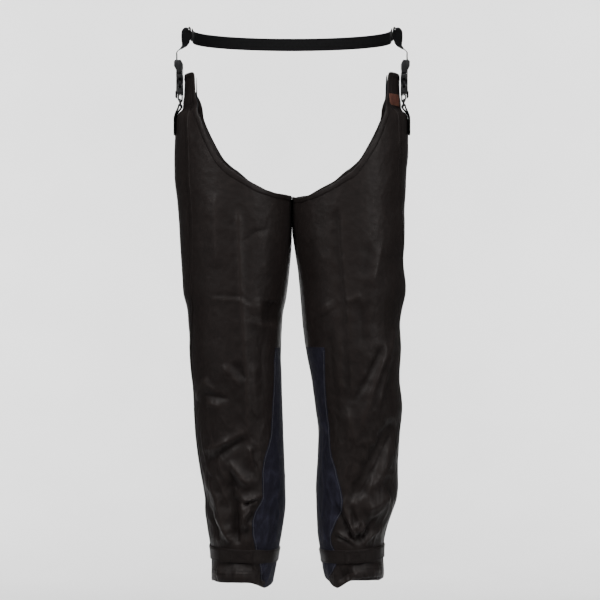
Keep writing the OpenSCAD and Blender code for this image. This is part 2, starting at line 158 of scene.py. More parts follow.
# folds: (kind, height mm, width, points)   g ridge or valley, c sharp crease,
# s step with the raised side on the right of the way it runs
FOLDS = {
    "right": [
        ("c", 1.9, 4.6, [(236, 206), (239, 290), (242, 330), (245, 380), (246, 436)]),
        ("s", 0.9, 2.6, [(246, 436), (245, 380), (242, 330), (239, 290), (236, 206)]),
        ("g", -1.3, 3.0, [(240, 244), (256, 232), (272, 228)]),
        ("s", 0.55, 2.2, [(207, 297), (224, 297.5), (239, 298), (256, 308)]),
        ("g", -5.0, 8.0, [(273, 300), (273, 326)]),
        ("g", 2.0, 5.0, [(259, 296), (262, 334)]),
        ("g", 1.4, 2.6, [(186, 108), (191, 148)]),
        ("g", 1.8, 7.0, [(214, 190), (217, 270)]),
        ("g", 2.6, 4.5, [(222, 364), (231, 377), (241, 389)]),
        ("g", -2.0, 4.0, [(231, 362), (246, 380)]),
        ("g", 3.6, 3.8, [(207, 376), (203, 388), (196, 401)]),
        ("g", -2.4, 2.4, [(202, 393), (215, 397), (230, 399)]),
        ("g", 1.8, 3.0, [(205, 403), (222, 407)]),
        ("g", -3.8, 3.6, [(250, 437), (228, 449), (203, 465)]),
        ("g", 2.6, 4.0, [(252, 428), (230, 440), (207, 453)]),
        ("g", 4.6, 4.2, [(229, 460), (240, 474), (252, 490)]),
        ("g", -4.8, 4.0, [(231, 474), (232, 500), (236, 545)]),
        ("g", -4.6, 2.6, [(236, 496), (236, 520), (237.5, 547)]),
        ("g", 2.8, 3.0, [(248, 444), (255, 472)]),
        ("g", 3.2, 3.2, [(241, 501), (259, 497)]),
        ("g", 5.0, 4.6, [(243, 502), (243, 516), (245, 532)]),
        ("g", 4.4, 4.6, [(209, 474), (219, 508), (229, 541)]),
        ("g", -2.4, 3.4, [(205, 490), (213, 520), (219, 541)]),
        ("g", 2.6, 2.6, [(227, 535), (230, 543)]),
        ("g", -3.6, 3.0, [(226, 568), (238, 560), (252, 567)]),
        ("g", 3.4, 3.4, [(219, 561), (220, 570), (219, 580)]),
        ("g", 2.6, 6.0, [(232, 575), (250, 574)]),
        ("g", -2.4, 2.4, [(254, 560), (259, 574), (264, 586)]),
        ("g", 1.2, 9.0, [(262, 224), (266, 280)]),
        ("g", -1.4, 5.0, [(252, 318), (262, 350), (262, 400)]),
        ("g", 1.6, 5.0, [(252, 360), (256, 420)]),
        ("g", 1.7, 1.5, [(249, 446), (250.5, 463)]),
        ("g", -2.0, 1.5, [(252.5, 449), (256.5, 471)]),
        ("g", 2.4, 1.7, [(232, 466), (238.5, 477), (246, 487)]),
        ("g", -2.4, 1.5, [(229, 469), (235, 482), (239, 492)]),
        ("g", 2.3, 1.5, [(261, 495), (242, 503)]),
        ("g", -2.2, 1.3, [(260, 498.5), (242, 506.5)]),
        ("g", 2.0, 1.4, [(258, 501), (244, 509)]),
        ("g", 2.3, 1.6, [(252, 507), (243, 519), (241, 532)]),
        ("g", -1.8, 1.5, [(255, 510), (247, 524), (246, 540)]),
        ("g", -2.6, 1.5, [(236, 500), (236.5, 520), (237.5, 543)]),
        ("g", 1.8, 1.6, [(213, 505), (221, 524), (230, 542)]),
        ("g", -1.7, 1.5, [(209, 512), (216, 530), (222, 543)]),
        ("g", -2.4, 1.5, [(231, 565), (237, 560.5), (247, 560), (252, 566), (257, 580)]),
        ("g", 1.8, 1.4, [(251, 561), (258, 573)]),
        ("g", 1.6, 1.6, [(226, 570), (234, 566), (246, 566)]),
        ("g", 1.4, 1.8, [(206, 384), (215, 391)]),
        ("g", -1.3, 1.6, [(226, 372), (238, 388)]),
        ("g", 1.2, 1.8, [(199, 452), (214, 447), (232, 440)]),
    ],
    "left": [
        ("c", -1.8, 3.8, [(338, 206), (340, 250), (345, 308), (349, 384), (350, 410)]),
        ("s", 0.9, 3.2, [(350, 410), (349, 384), (345, 308), (340, 250), (338, 206)]),
        ("g", 3.4, 5.0, [(348, 408), (352, 428), (357, 446)]),
        ("g", -1.4, 3.0, [(350, 446), (351, 476)]),
        ("g", 1.4, 2.6, [(346, 303), (362, 294)]),
        ("g", 1.8, 6.0, [(325, 304), (330, 312)]),
        ("g", 2.6, 6.0, [(382, 242), (377, 266), (371, 288)]),
        ("g", -1.6, 5.0, [(370, 240), (363, 280)]),
        ("g", 1.3, 2.6, [(402, 118), (397, 152)]),
        ("g", 1.6, 3.0, [(400, 200), (402, 284)]),
        ("g", 2.4, 2.2, [(396, 322), (389, 360), (381, 396), (377, 412)]),
        ("g", 2.6, 2.8, [(392, 500), (386, 518), (377, 540)]),
        ("g", 3.4, 6.0, [(389, 338), (375, 386), (359, 434)]),
        ("g", -2.6, 3.2, [(385, 342), (369, 374), (351, 406)]),
        ("g", -6.6, 6.0, [(396, 418), (373, 458), (350, 502)]),
        ("g", 3.0, 6.0, [(399, 440), (384, 470), (366, 496)]),
        ("g", 4.6, 8.5, [(364, 512), (378, 504), (392, 494)]),
        ("g", 4.0, 5.5, [(354, 524), (362, 534)]),
        ("g", -2.8, 2.8, [(334, 498), (345, 524), (356, 546)]),
        ("g", 2.4, 2.8, [(342, 500), (349, 522), (357, 544)]),
        ("g", -2.6, 2.4, [(352, 505), (355, 526), (357, 546)]),
        ("g", -3.0, 2.8, [(376, 514), (366, 530), (358, 546)]),
        ("g", -4.2, 3.8, [(337, 580), (351, 568), (367, 557)]),
        ("g", 3.8, 4.2, [(355, 562), (355, 572), (352, 581)]),
        ("g", 1.8, 5.0, [(374, 560), (378, 574)]),
        ("g", 1.2, 9.0, [(318, 224), (314, 280)]),
        ("g", -1.6, 5.0, [(330, 330), (333, 380), (338, 430)]),
        ("g", 1.8, 5.0, [(341, 330), (341, 396)]),
        ("g", -2.2, 6.0, [(361, 300), (363, 350)]),
        ("g", -2.6, 1.9, [(396, 428), (376, 466), (356, 502)]),
        ("g", 1.6, 1.8, [(349, 440), (350, 472)]),
        ("g", -2.0, 1.4, [(334, 536), (346, 541), (357, 550)]),
        ("g", 1.9, 1.4, [(335, 531), (347, 538), (357, 546)]),
        ("g", -2.1, 1.4, [(344, 518), (350, 532), (356, 545)]),
        ("g", 2.0, 1.4, [(348, 518), (353, 532), (357.5, 544)]),
        ("g", -2.0, 1.4, [(361, 520), (359.5, 533), (358, 545)]),
        ("g", 1.9, 1.5, [(365, 522), (362, 534), (359, 545)]),
        ("g", -1.9, 1.4, [(372, 526), (365, 536), (359.5, 546)]),
        ("g", 1.7, 1.5, [(378, 529), (369, 538), (361, 547)]),
        ("g", -2.8, 1.7, [(376, 555), (356, 567), (335, 581)]),
        ("g", 1.7, 1.5, [(378, 560), (364, 568), (350, 579)]),
        ("g", -1.4, 1.7, [(384, 346), (372, 372), (360, 396)]),
        ("g", 1.3, 1.6, [(391, 344), (379, 372), (367, 402)]),
        ("g", 1.2, 1.8, [(320, 420), (330, 436)]),
    ],
}


def fold_field(folds, px, py):
    """Sum of the folds at picture points px, py."""
    out = np.zeros_like(px)
    for kind, amp, w, pts in folds:
        p = np.array(pts, float)
        seg = np.diff(p, axis=0)
        ln = np.hypot(seg[:, 0], seg[:, 1])
        cum = np.concatenate([[0], np.cumsum(ln)])
        box = ((px > p[:, 0].min() - 5 * w) & (px < p[:, 0].max() + 5 * w)
               & (py > p[:, 1].min() - 5 * w) & (py < p[:, 1].max() + 5 * w))
        if not box.any():
            continue
        x, y = px[box], py[box]
        best = np.full(x.shape, 1e9)
        side = np.zeros(x.shape)
        along = np.zeros(x.shape)
        for k in range(len(seg)):
            t = np.clip(((x - p[k, 0]) * seg[k, 0] + (y - p[k, 1]) * seg[k, 1]) / ln[k] ** 2, 0, 1)
            dx, dy = x - p[k, 0] - t * seg[k, 0], y - p[k, 1] - t * seg[k, 1]
            d = np.hypot(dx, dy)
            m = d < best
            best = np.where(m, d, best)
            sg = np.sign(seg[k, 0] * dy - seg[k, 1] * dx)
            side = np.where(m, sg * d, side)
            along = np.where(m, cum[k] + t * ln[k], along)
        total = cum[-1]
        ramp = max(2.0, min(0.28 * total, 14.0))
        fade = smoothstep(-0.35 * w, ramp, along) * smoothstep(-0.35 * w, ramp, total - along)
        # widths vary a little along the fold
        ww = w * (1 + 0.16 * np.sin(along * 0.35 + w))
        if kind == "g":
            f = 0.5 * np.exp(-0.5 * (best / ww) ** 2) + 0.62 * np.exp(-np.sqrt(best ** 2 + 0.35) / (0.72 * ww))
        elif kind == "c":
            f = 0.55 * np.exp(-best / (0.5 * ww)) + 0.45 * np.exp(-0.5 * (best / ww) ** 2)
        else:
            f = (side / ww) * np.exp(-0.5 * (best / ww) ** 2) * 1.6
        out[box] += amp * f * fade
    return out


class Leg:
    EXP = 2 / 2.3
    Z0, Z1, DZ = -1090.0, -50.0, 1.6
    DA = 0.6

    def __init__(self, name):
        self.name = name
        self.g = 1 if name == "left" else -1
        self.seed = 11 if name == "left" else 29
        zz = np.arange(self.Z0, self.Z1 + 1, 2.0)
        self.zz = zz
        tab = lambda t, s: gauss_rows(np.interp(zz, [a for a, b in t], [b for a, b in t]), s)
        self.t_out, self.t_in = tab(OUT[name], 3.5), tab(INN[name], 5)
        self.t_f, self.t_b = tab(Y_FRONT, 8), tab(Y_BACK, 10)
        self.s_out, self.s_in = tab(OUT[name], 26), tab(INN[name], 26)
        self.t_seam = gauss_rows(np.interp(zz, [a for a, b in SEAM[name]], [b for a, b in SEAM[name]]), 12)
        self.build_relief()
        self.build_edges()

    # the plain tapering tube
    def base(self, a, z):
        a, z = np.broadcast_arrays(np.asarray(a, float), np.asarray(z, float))
        xo, xi = np.interp(z, self.zz, self.t_out), np.interp(z, self.zz, self.t_in)
        yf, yb = np.interp(z, self.zz, self.t_f), np.interp(z, self.zz, self.t_b)
        # the outline's small bumps die away round the back
        aw = (a + 180) % 360 - 180
        w = np.where(aw < 0, np.clip(1 - np.exp(-(aw / 30) ** 2) - np.exp(-((aw + 180) / 30) ** 2), 0, 1), 0)
        w = w * smoothstep(-190, -260, z) * smoothstep(-1030, -960, z)
        xo = xo + (np.interp(z, self.zz, self.s_out) - xo) * w
        xi = xi + (np.interp(z, self.zz, self.s_in) - xi) * w
        c, s = np.cos(np.radians(a)), np.sin(np.radians(a))
        x = (xo + xi) / 2 + (xo - xi) / 2 * spow(c, self.EXP)
        y = (yf + yb) / 2 - (yb - yf) / 2 * spow(s, self.EXP)
        return np.stack([self.g * x, y, z], -1)

    def normal(self, a, z):
        a, z = np.broadcast_arrays(np.asarray(a, float), np.asarray(z, float))
        ta = self.base(a + 2.0, z) - self.base(a - 2.0, z)
        tz = self.base(a, z + 6) - self.base(a, z - 6)
        n = np.cross(ta, tz) * -self.g
        return n / np.linalg.norm(n, axis=-1, keepdims=True)

    def metric(self, a, z):
        """mm of cloth per degree."""
        return np.linalg.norm(self.base(np.asarray(a, float) + 3, z) - self.base(np.asarray(a, float) - 3, z), axis=-1) / 6

    def project(self, p):
        k = CAM_D * 1000 / (CAM_D * 1000 + p[..., 1])
        return 300 + (p[..., 0] - CAM_X * 1000) * k / PX, 300 - (p[..., 2] - CAM_Z * 1000) * k / PX

    def lift(self, px, py):
        """(angle, height) of the point of the front that projects to px, py."""
        px, py = np.asarray(px, float), np.asarray(py, float)
        y = np.full(px.shape, -90.0)
        for _ in range(12):
            k = (CAM_D * 1000 + y) / (CAM_D * 1000)
            x = CAM_X * 1000 + (px - 300) * PX * k
            z = CAM_Z * 1000 + (300 - py) * PX * k
            xo, xi = np.interp(z, self.zz, self.t_out), np.interp(z, self.zz, self.t_in)
            c = np.clip((self.g * x - (xo + xi) / 2) / ((xo - xi) / 2), -0.9999, 0.9999)
            a = np.degrees(np.arccos(spow(c, 1 / self.EXP)))
            y = self.base(a, z)[..., 1]
        return a, z

    def build_relief(self):
        A = np.arange(-180, 180, self.DA)
        Z = np.arange(self.Z0, self.Z1 + 0.1, self.DZ)
        a, z = np.meshgrid(A, Z)
        p = self.base(a, z)
        px, py = self.project(p)
        front = smoothstep(0.02, 0.34, np.sin(np.radians(a)))
        back = smoothstep(0.02, 0.34, -np.sin(np.radians(a)))
        deep = 1.4 + 0.6 * smoothstep(-800, -940, z)
        r = fold_field(FOLDS[self.name], px, py) * front * deep
        n1, n2, n3, n4 = (Noise(self.seed + k) for k in range(4))
        u = (a + 180) / 360
        calm = 1 - 0.8 * smoothstep(-230, -150, z) * smoothstep(70, 40, np.abs(a - 0))
        # slow swells, longer along the leg than round it
        r += 1.2 * n1(u * 7, z / 210, 7) * (0.55 + 0.45 * front)
        r += 0.75 * n2(u * 14, z / 90, 14)
        r += 0.32 * n3(u * 26, z / 34, 26)
        r += 0.22 * n4(u * 72, z / 11, 72)
        # crumple: sharp-backed wrinkles, mostly below the knee and drawn towards the ankle
        low = smoothstep(-640, -900, z)
        cr = 1 - np.abs(n3(u * 20 + 0.35 * n1(u * 9, z / 80, 9), z / 62 + 11.7, 0)) * 2.6
        cr2 = 1 - np.abs(n4(u * 38, z / 30 + 4.1, 0)) * 2.6
        r += (0.22 + 1.3 * low) * np.clip(cr, 0, 1) ** 2.2 + (0.12 + 0.5 * low) * np.clip(cr2, 0, 1) ** 2.4
        # short crisp wrinkles where two noises cross
        w = n2(u * 18, z / 40 + 7.3, 18)
        r += (0.12 + 0.43 * low) * (np.exp(-(w / 0.07) ** 2) - 0.2) * smoothstep(-0.1, 0.35, n1(u * 9, z / 120 + 3.1, 9))
        # the hidden back: long slanting pulls from the seat, and a nest of short folds behind the knee
        rng = np.random.RandomState(self.seed + 50)
        for k in range(15):
            ac, zc = rng.uniform(-165, -15), rng.uniform(-1000, -350)
            ln, sl, amp, wd = rng.uniform(60, 130), rng.uniform(-0.5, 0.5), rng.uniform(1.8, 3.6) * rng.choice([1, 1, -1]), rng.uniform(7, 13)
            s = (a - ac) * 1.75
            t = (z - zc)
            q = s - sl * t
            r += amp * np.exp(-0.5 * (q / wd) ** 2) * np.exp(-0.5 * (t / ln) ** 2) * back
        for k in range(9):
            zc = -700 + 20 * k + rng.uniform(-5, 5)
            ac, sp = rng.uniform(-120, -60), rng.uniform(22, 45)
            bend = 12 * np.cos(np.radians((a - ac) * 1.2)) + rng.uniform(-0.25, 0.25) * (a - ac)
            r += rng.uniform(1.6, 3.0) * np.exp(-0.5 * ((z - zc - bend) / 5.5) ** 2) * np.exp(-0.5 * ((a - ac) / sp) ** 2) * back
            r -= rng.uniform(1.4, 2.4) * np.exp(-0.5 * ((z - zc - bend + 10) / 4.5) ** 2) * np.exp(-0.5 * ((a - ac) / sp) ** 2) * back
        r *= calm
        # gathers above and below the ankle strap, none under it
        dz = z + 1004
        free = smoothstep(12, 34, np.abs(dz))
        gat = np.where(dz > 0, np.exp(-((dz - 34) / 42) ** 2), np.exp(-((-dz - 34) / 36) ** 2))
        r += gat * (2.6 * n1(u * 17, dz * 0.006 + 5, 17) + 1.3 * n3(u * 31, dz * 0.01, 31)) * (0.5 + 0.5 * back + 0.15 * front)
        r = r * (0.12 + 0.88 * free)
        # the relief is damped at the outer and inner sides, more so below the knee
        side = np.abs(np.cos(np.radians(a))) ** 8
        r *= 1 - (0.62 + 0.2 * smoothstep(-850, -950, z)) * side
        # the cloth stands clear of the buckle
        r -= (1.3 * smoothstep(-162, -143, z) + 4.6 * np.exp(-(((z + 141) / 8) ** 2))) * smoothstep(46, 28, np.abs(a - 10))
        # nothing pushes in so far that it would reach the lining's space
        r = np.where(r < -7, -7 - 0.3 * (-7 - r), r)
        self.R = np.concatenate([r, r[:, :1]], 1)
        assert self.R.shape[1] == int(360 / self.DA) + 1
        # where the cloth is proud, wax wears to a lighter tone; in the hollows between folds the same field turns
        # negative, which is painted shade
        k = r.copy()
        for _ in range(3):
            k = 0.25 * (np.roll(k, 5, 0) + np.roll(k, -5, 0) + np.roll(k, 6, 1) + np.roll(k, -6, 1))
        w = np.clip((r - k) / 1.6, -1, 1)
        self.W = np.concatenate([w, w[:, :1]], 1)

    def _pick(self, G, a, z):
        a, z = np.broadcast_arrays(np.asarray(a, float), np.asarray(z, float))
        fa = ((a + 180) % 360) / self.DA
        fz = np.clip((z - self.Z0) / self.DZ, 0, G.shape[0] - 1.001)
        i, j = fz.astype(int), fa.astype(int)
        u, v = fa - j, fz - i
        j1 = np.minimum(j + 1, G.shape[1] - 1)
        return (G[i, j] * (1 - u) + G[i, j1] * u) * (1 - v) + (G[i + 1, j] * (1 - u) + G[i + 1, j1] * u) * v

    def relief(self, a, z):
        return self._pick(self.R, a, z)

    def pt(self, a, z, off=0.0):
        """Point in mm on the cloth's outer face, lifted by off."""
        a, z = np.broadcast_arrays(np.asarray(a, float), np.asarray(z, float))
        p = self.base(a, z) + self.normal(a, z) * (self.relief(a, z) + off)[..., None]
        near = np.maximum(-0.12, 1.05 - off)
        x = self.g * p[..., 0]
        # the thighs flatten where they touch
        p[..., 0] = self.g * np.where(x < near + 1.2, near + 1.2 * np.exp(np.clip(x - near - 1.2, -60, 0) / 1.2), x)
        return p

    def build_edges(self):
        # the top edge all round, smoothed so that its corners are soft
        c = np.array(TOP_CURVE[self.name], float)
        a, z = self.lift(c[:, 0], c[:, 1])
        pts = [(p, q) for p, q in TOP_BACK] + [(a[0] - 1.2, -77.0)]
        last = a[0] - 1.0
        for p, q in zip(a, z):
            p = max(p, last + 0.25)
            last = p
            pts.append((p, q))
        pts = [q for q in pts if q[0] < 179] + [(180, -312)]
        pts = np.array(pts)
        s = pts[:, 0] * 1.95
        d = np.concatenate([[0], np.cumsum(np.hypot(np.diff(s), np.diff(pts[:, 1])))])
        t = np.arange(0, d[-1], 1.0)
        ss, zs = np.interp(t, d, s), np.interp(t, d, pts[:, 1])
        n = len(t)
        ext = lambda v, jump: gauss_rows(np.concatenate([v - jump, v, v + jump]), 5.5)[n:2 * n]
        ss, zs = ext(ss, 360 * 1.95), ext(zs, 0)
        self.edge_s, self.edge_z = ss, zs
        self.edge_a = ss / 1.95
        # the hem
        h = np.array(HEM_CURVE[self.name], float)
        a, z = self.lift(h[:, 0], h[:, 1])
        o = np.argsort(a)
        a, z = a[o], z[o]
        ha = np.concatenate([[-180, -150, -110, -70, -30], a, [180]])
        hz = np.concatenate([[z[-1] + 3, -1068, -1072, -1071, -1066], z, [z[-1] + 3]])
        t = np.arange(-180, 180.1, 1.0)
        v = np.interp(t, ha, hz)
        v = gauss_rows(np.concatenate([v[:-1], v, v[1:]]), 3.5)[360:721]
        self.hem_a, self.hem_v = t, v

    def top(self, a):
        return np.interp(a, self.edge_a, self.edge_z)

    def hem(self, a):
        return np.interp((np.asarray(a, float) + 180) % 360 - 180, self.hem_a, self.hem_v)

    def seam(self, z):
        return np.interp(z, self.zz, self.t_seam)


LEGS = {n: Leg(n) for n in ("left", "right")}


# ------------------------------------------------------------------ mesh makers
def make(name, verts_mm, faces, uv=None, wear_and_shade=None, mat=None, sharp=50):
    me = bpy.data.meshes.new(name)
    v = np.asarray(verts_mm, float) * MM
    faces = [tuple(int(i) for i in f) for f in faces]
    me.from_pydata([tuple(p) for p in v], [], faces)
    me.validate()
    if uv is not None:
        layer = me.uv_layers.new(name="UVMap")
        idx = np.zeros(len(me.loops), int)
        me.loops.foreach_get("vertex_index", idx)
        layer.data.foreach_set("uv", (np.asarray(uv, float) * MM)[idx].astype(np.float32).ravel())
    if wear_and_shade is not None:
        at = me.attributes.new("wear_and_shade", "FLOAT", "POINT")
        at.data.foreach_set("value", np.asarray(wear_and_shade, np.float32).ravel())
    ob = bpy.data.objects.new(name, me)
    bpy.context.scene.collection.objects.link(ob)
    me.polygons.foreach_set("use_smooth", [True] * len(me.polygons))
    bm = bmesh.new()
    bm.from_mesh(me)
    bmesh.ops.recalc_face_normals(bm, faces=bm.faces)
    bm.to_mesh(me)
    bm.free()
    me.set_sharp_from_angle(angle=math.radians(sharp))
    if mat:
        me.materials.append(mat)
    return ob


def tube_faces(n_ring, n_sec, closed_path=False, closed_sec=True, base=0):
    """Faces of a sweep: n_ring rings of n_sec points."""
    f = []
    for i in range(n_ring if closed_path else n_ring - 1):
        k = (i + 1) % n_ring
        for j in range(n_sec if closed_sec else n_sec - 1):
            m = (j + 1) % n_sec
            f.append((base + i * n_sec + j, base + i * n_sec + m, base + k * n_sec + m, base + k * n_sec + j))
    if closed_sec and not closed_path:
        f.append(tuple(base + j for j in range(n_sec))[::-1])
        f.append(tuple(base + (n_ring - 1) * n_sec + j for j in range(n_sec)))
    return f


def thick_sheet(name, leg, a, z, out, inn, mat, wrap=False, wear_and_shade=True, edge_round=0.25):
    """A closed sheet over the grid of angles a and heights z (rows x columns)."""
    r, c = a.shape
    o = np.full(a.shape, float(out)) if np.isscalar(out) else out
    i = np.full(a.shape, float(inn)) if np.isscalar(inn) else inn
    O, I = leg.pt(a, z, o), leg.pt(a, z, i)
    verts = np.concatenate([O.reshape(-1, 3), I.reshape(-1, 3)])
    n = r * c
    f = []
    last = c if wrap else c - 1
    for y in range(r - 1):
        for x in range(last):
            x1 = (x + 1) % c
            q = (y * c + x, y * c + x1, (y + 1) * c + x1, (y + 1) * c + x)
            f.append(q)
            f.append(tuple(k + n for k in q[::-1]))
    for x in range(last):
        x1 = (x + 1) % c
        f.append((x1, x, n + x, n + x1))
        b = (r - 1) * c
        f.append((b + x, b + x1, n + b + x1, n + b + x))
    if not wrap:
        for y in range(r - 1):
            f.append((y * c, (y + 1) * c, n + (y + 1) * c, n + y * c))
            f.append(((y + 1) * c + c - 1, y * c + c - 1, n + y * c + c - 1, n + (y + 1) * c + c - 1))
    s = np.radians(a) * 100.0
    uv = np.stack([s, z], -1).reshape(-1, 2)
    uv = np.concatenate([uv, uv])
    w = leg._pick(leg.W, a, z).ravel()
    return make(name, verts, f, uv, np.concatenate([w, w * 0]) if wear_and_shade else None, mat)


def resample(p, step, closed=False):
    p = np.asarray(p, float)
    if closed:
        p = np.concatenate([p, p[:1]])
    d = np.concatenate([[0], np.cumsum(np.linalg.norm(np.diff(p, axis=0), axis=1))])
    n = max(2, int(round(d[-1] / step)))
    t = np.linspace(0, d[-1], n + 1)
    q = np.stack([np.interp(t, d, p[:, k]) for k in range(p.shape[1])], 1)
    return (q[:-1] if closed else q), d[-1]


def stitches(name, runs, mat, length=3.0, gap=1.15, wide=0.42, tall=0.34, pitch_noise=0.06):
    """runs: list of (points, normals) in mm. One mesh of short threads."""
    rng = np.random.RandomState(len(name) * 7 + len(runs))
    verts, faces = [], []
    prof = [(0.0, 0.35, -0.55), (0.10, 0.85, 0.10), (0.5, 1.0, 0.34), (0.90, 0.85, 0.10), (1.0, 0.35, -0.55)]
    sec = [(math.cos(t), math.sin(t)) for t in np.linspace(0, 2 * math.pi, 7)[:-1]]
    for pts, nor in runs:
        pts, nor = np.asarray(pts, float), np.asarray(nor, float)
        d = np.concatenate([[0], np.cumsum(np.linalg.norm(np.diff(pts, axis=0), axis=1))])
        if d[-1] < length:
            continue
        n = int(d[-1] // (length + gap))
        step = d[-1] / max(n, 1)
        at = lambda t: np.array([np.interp(t, d, pts[:, k]) for k in range(3)])
        an = lambda t: np.array([np.interp(t, d, nor[:, k]) for k in range(3)])
        for i in range(n):
            t0 = i * step + gap * 0.5 + rng.uniform(-pitch_noise, pitch_noise) * step
            t1 = t0 + step - gap
            p0, p1 = at(t0), at(t1)
            nn = an((t0 + t1) / 2)
            nn /= np.linalg.norm(nn)
            tt = p1 - p0
            L = np.linalg.norm(tt)
            if L < 0.3:
                continue
            tt /= L
            bb = np.cross(nn, tt)
            bb /= np.linalg.norm(bb)
            skew = rng.uniform(-0.09, 0.09)
            base = len(verts)
            for s, rr, h in prof:
                c = p0 + tt * L * s + bb * skew * (s - 0.5) * 2 + nn * h * tall
                for cx, cy in sec:
                    verts.append(c + bb * cx * wide * rr + nn * cy * tall * rr)
            faces += tube_faces(len(prof), 6, base=base)
    return make(name, verts, faces, None, None, mat, sharp=80)


def leg_run(leg, a, z, off):
    return leg.pt(a, z, off), leg.normal(a, z)


def seam_strip(name, leg, a, z, half, mat, lift=0.85):
    """A folded seam allowance along a line of angles a and heights z, by half mm each side."""
    w = np.array([-1, -0.97, -0.86, -0.55, -0.2, 0.2, 0.55, 0.86, 0.97, 1.0])
    o = np.array([0.0, 0.45, 0.8, 0.92, 1.0, 1.0, 0.92, 0.8, 0.45, 0.0]) * lift
    m = leg.metric(a, z)
    A = a[:, None] + w[None, :] * half / m[:, None]
    Z = np.broadcast_to(z[:, None], A.shape)
    top = leg.pt(A, Z, np.broadcast_to(o[None, :], A.shape))
    bot = leg.pt(A, Z, -0.45)
    k = len(w)
    sec = np.concatenate([top, bot[:, ::-1]], 1)
    verts = sec.reshape(-1, 3)
    f = tube_faces(len(a), 2 * k)
    uw = np.concatenate([w * half, w[::-1] * half])
    uv = np.stack(np.broadcast_arrays(uw[None, :], z[:, None]), -1).reshape(-1, 2)
    # the cloth's field of wax wear and painted fold shade, lifted 0.12 along the seam's ridge as edge wear
    wear_shade = leg._pick(leg.W, A, Z)
    wear_and_shade = np.concatenate([wear_shade + 0.12, wear_shade[:, ::-1] * 0], 1)
    return make(name, verts, f, uv, wear_and_shade, mat)


def ribbon(name, path, widths, mat, width=25.0, thick=1.6, step=1.2, closed=False, end_round=0.0, twist=None):
    """Webbing swept along path; widths are the unit directions across it."""
    P = np.asarray(path, float)
    W = np.asarray(widths, float)
    both, total = resample(np.concatenate([P, W], 1), step, closed)
    P, W = both[:, :3], both[:, 3:]
    # soften corners
    for _ in range(3):
        if closed:
            P = 0.25 * np.roll(P, 1, 0) + 0.5 * P + 0.25 * np.roll(P, -1, 0)
        else:
            P[1:-1] = 0.25 * P[:-2] + 0.5 * P[1:-1] + 0.25 * P[2:]
            W[1:-1] = 0.25 * W[:-2] + 0.5 * W[1:-1] + 0.25 * W[2:]
    T = np.gradient(P, axis=0) if not closed else (np.roll(P, -1, 0) - np.roll(P, 1, 0))
    T /= np.linalg.norm(T, axis=1, keepdims=True)
    W = W - (W * T).sum(1, keepdims=True) * T
    W /= np.linalg.norm(W, axis=1, keepdims=True)
    N = np.cross(T, W)
    d = np.concatenate([[0], np.cumsum(np.linalg.norm(np.diff(P, axis=0), axis=1))])
    hw = np.full(len(P), width / 2)
    if end_round:
        for e in (d, d[-1] - d):
            m = e < end_round
            hw[m] = np.minimum(hw[m], width / 2 * np.sqrt(np.clip(1 - ((end_round - e[m]) / end_round) ** 2, 0.02, 1)))
    u = np.array([-1, -0.985, -0.93, -0.6, -0.2, 0.2, 0.6, 0.93, 0.985, 1])
    h = np.array([0.35, 0.8, 1, 1, 1, 1, 1, 1, 0.8, 0.35]) * thick / 2
    uu = np.concatenate([u, u[::-1]])
    hh = np.concatenate([h, -h[::-1]])
    V = P[:, None, :] + W[:, None, :] * (uu[None, :, None] * hw[:, None, None]) + N[:, None, :] * hh[None, :, None]
    uv = np.stack(np.broadcast_arrays(uu[None, :] * width / 2, d[:, None]), -1).reshape(-1, 2)
    return make(name, V.reshape(-1, 3), tube_faces(len(P), len(uu), closed_path=closed), uv, None, mat, sharp=60)


# ------------------------------------------------------------------ materials
def new_mat(name):
    m = bpy.data.materials.new(name)
    m.use_nodes = True
    nt = m.node_tree
    for n in list(nt.nodes):
        nt.nodes.remove(n)
    out = nt.nodes.new("ShaderNodeOutputMaterial")
    b = nt.nodes.new("ShaderNodeBsdfPrincipled")
    nt.links.new(b.outputs[0], out.inputs[0])
    return m, nt, b


def node(nt, kind, **kw):
    n = nt.nodes.new(kind)
    for k, v in kw.items():
        if k in n.inputs.keys():
            n.inputs[k].default_value = v
        else:
            setattr(n, k, v)
    return n


def mathn(nt, op, a, b=None, c=None, clamp=False):
    n = nt.nodes.new("ShaderNodeMath")
    n.operation = op
    n.use_clamp = clamp
    for i, v in enumerate((a, b, c)):
        if v is None:
            continue
        if isinstance(v, (int, float)):
            n.inputs[i].default_value = v
        else:
            nt.links.new(v, n.inputs[i])
    return n.outputs[0]


def ramp(nt, fac, stops, interp="LINEAR"):
    n = nt.nodes.new("ShaderNodeValToRGB")
    n.color_ramp.interpolation = interp
    e = n.color_ramp.elements
    e[0].position, e[0].color = stops[0][0], (*stops[0][1], 1)
    e[1].position, e[1].color = stops[-1][0], (*stops[-1][1], 1)
    for p, c in stops[1:-1]:
        x = e.new(p)
        x.color = (*c, 1)
    nt.links.new(fac, n.inputs[0])
    return n.outputs[0]


def maprange(nt, v, a, b, c, d):
    n = nt.nodes.new("ShaderNodeMapRange")
    n.inputs["From Min"].default_value, n.inputs["From Max"].default_value = a, b
    n.inputs["To Min"].default_value, n.inputs["To Max"].default_value = c, d
    nt.links.new(v, n.inputs["Value"])
    return n.outputs[0]


def mixc(nt, fac, a, b, mode="MIX"):
    n = nt.nodes.new("ShaderNodeMix")
    n.data_type = "RGBA"
    n.blend_type = mode
    if isinstance(fac, (int, float)):
        n.inputs[0].default_value = fac
    else:
        nt.links.new(fac, n.inputs[0])
    for i, v in ((6, a), (7, b)):
        if isinstance(v, tuple):
            n.inputs[i].default_value = (*v, 1)
        else:
            nt.links.new(v, n.inputs[i])
    return n.outputs[2]


def bump(nt, height, strength, dist, normal=None):
    n = nt.nodes.new("ShaderNodeBump")
    n.inputs["Strength"].default_value = strength
    n.inputs["Distance"].default_value = dist
    nt.links.new(height, n.inputs["Height"])
    if normal is not None:
        nt.links.new(normal, n.inputs["Normal"])
    return n.outputs[0]


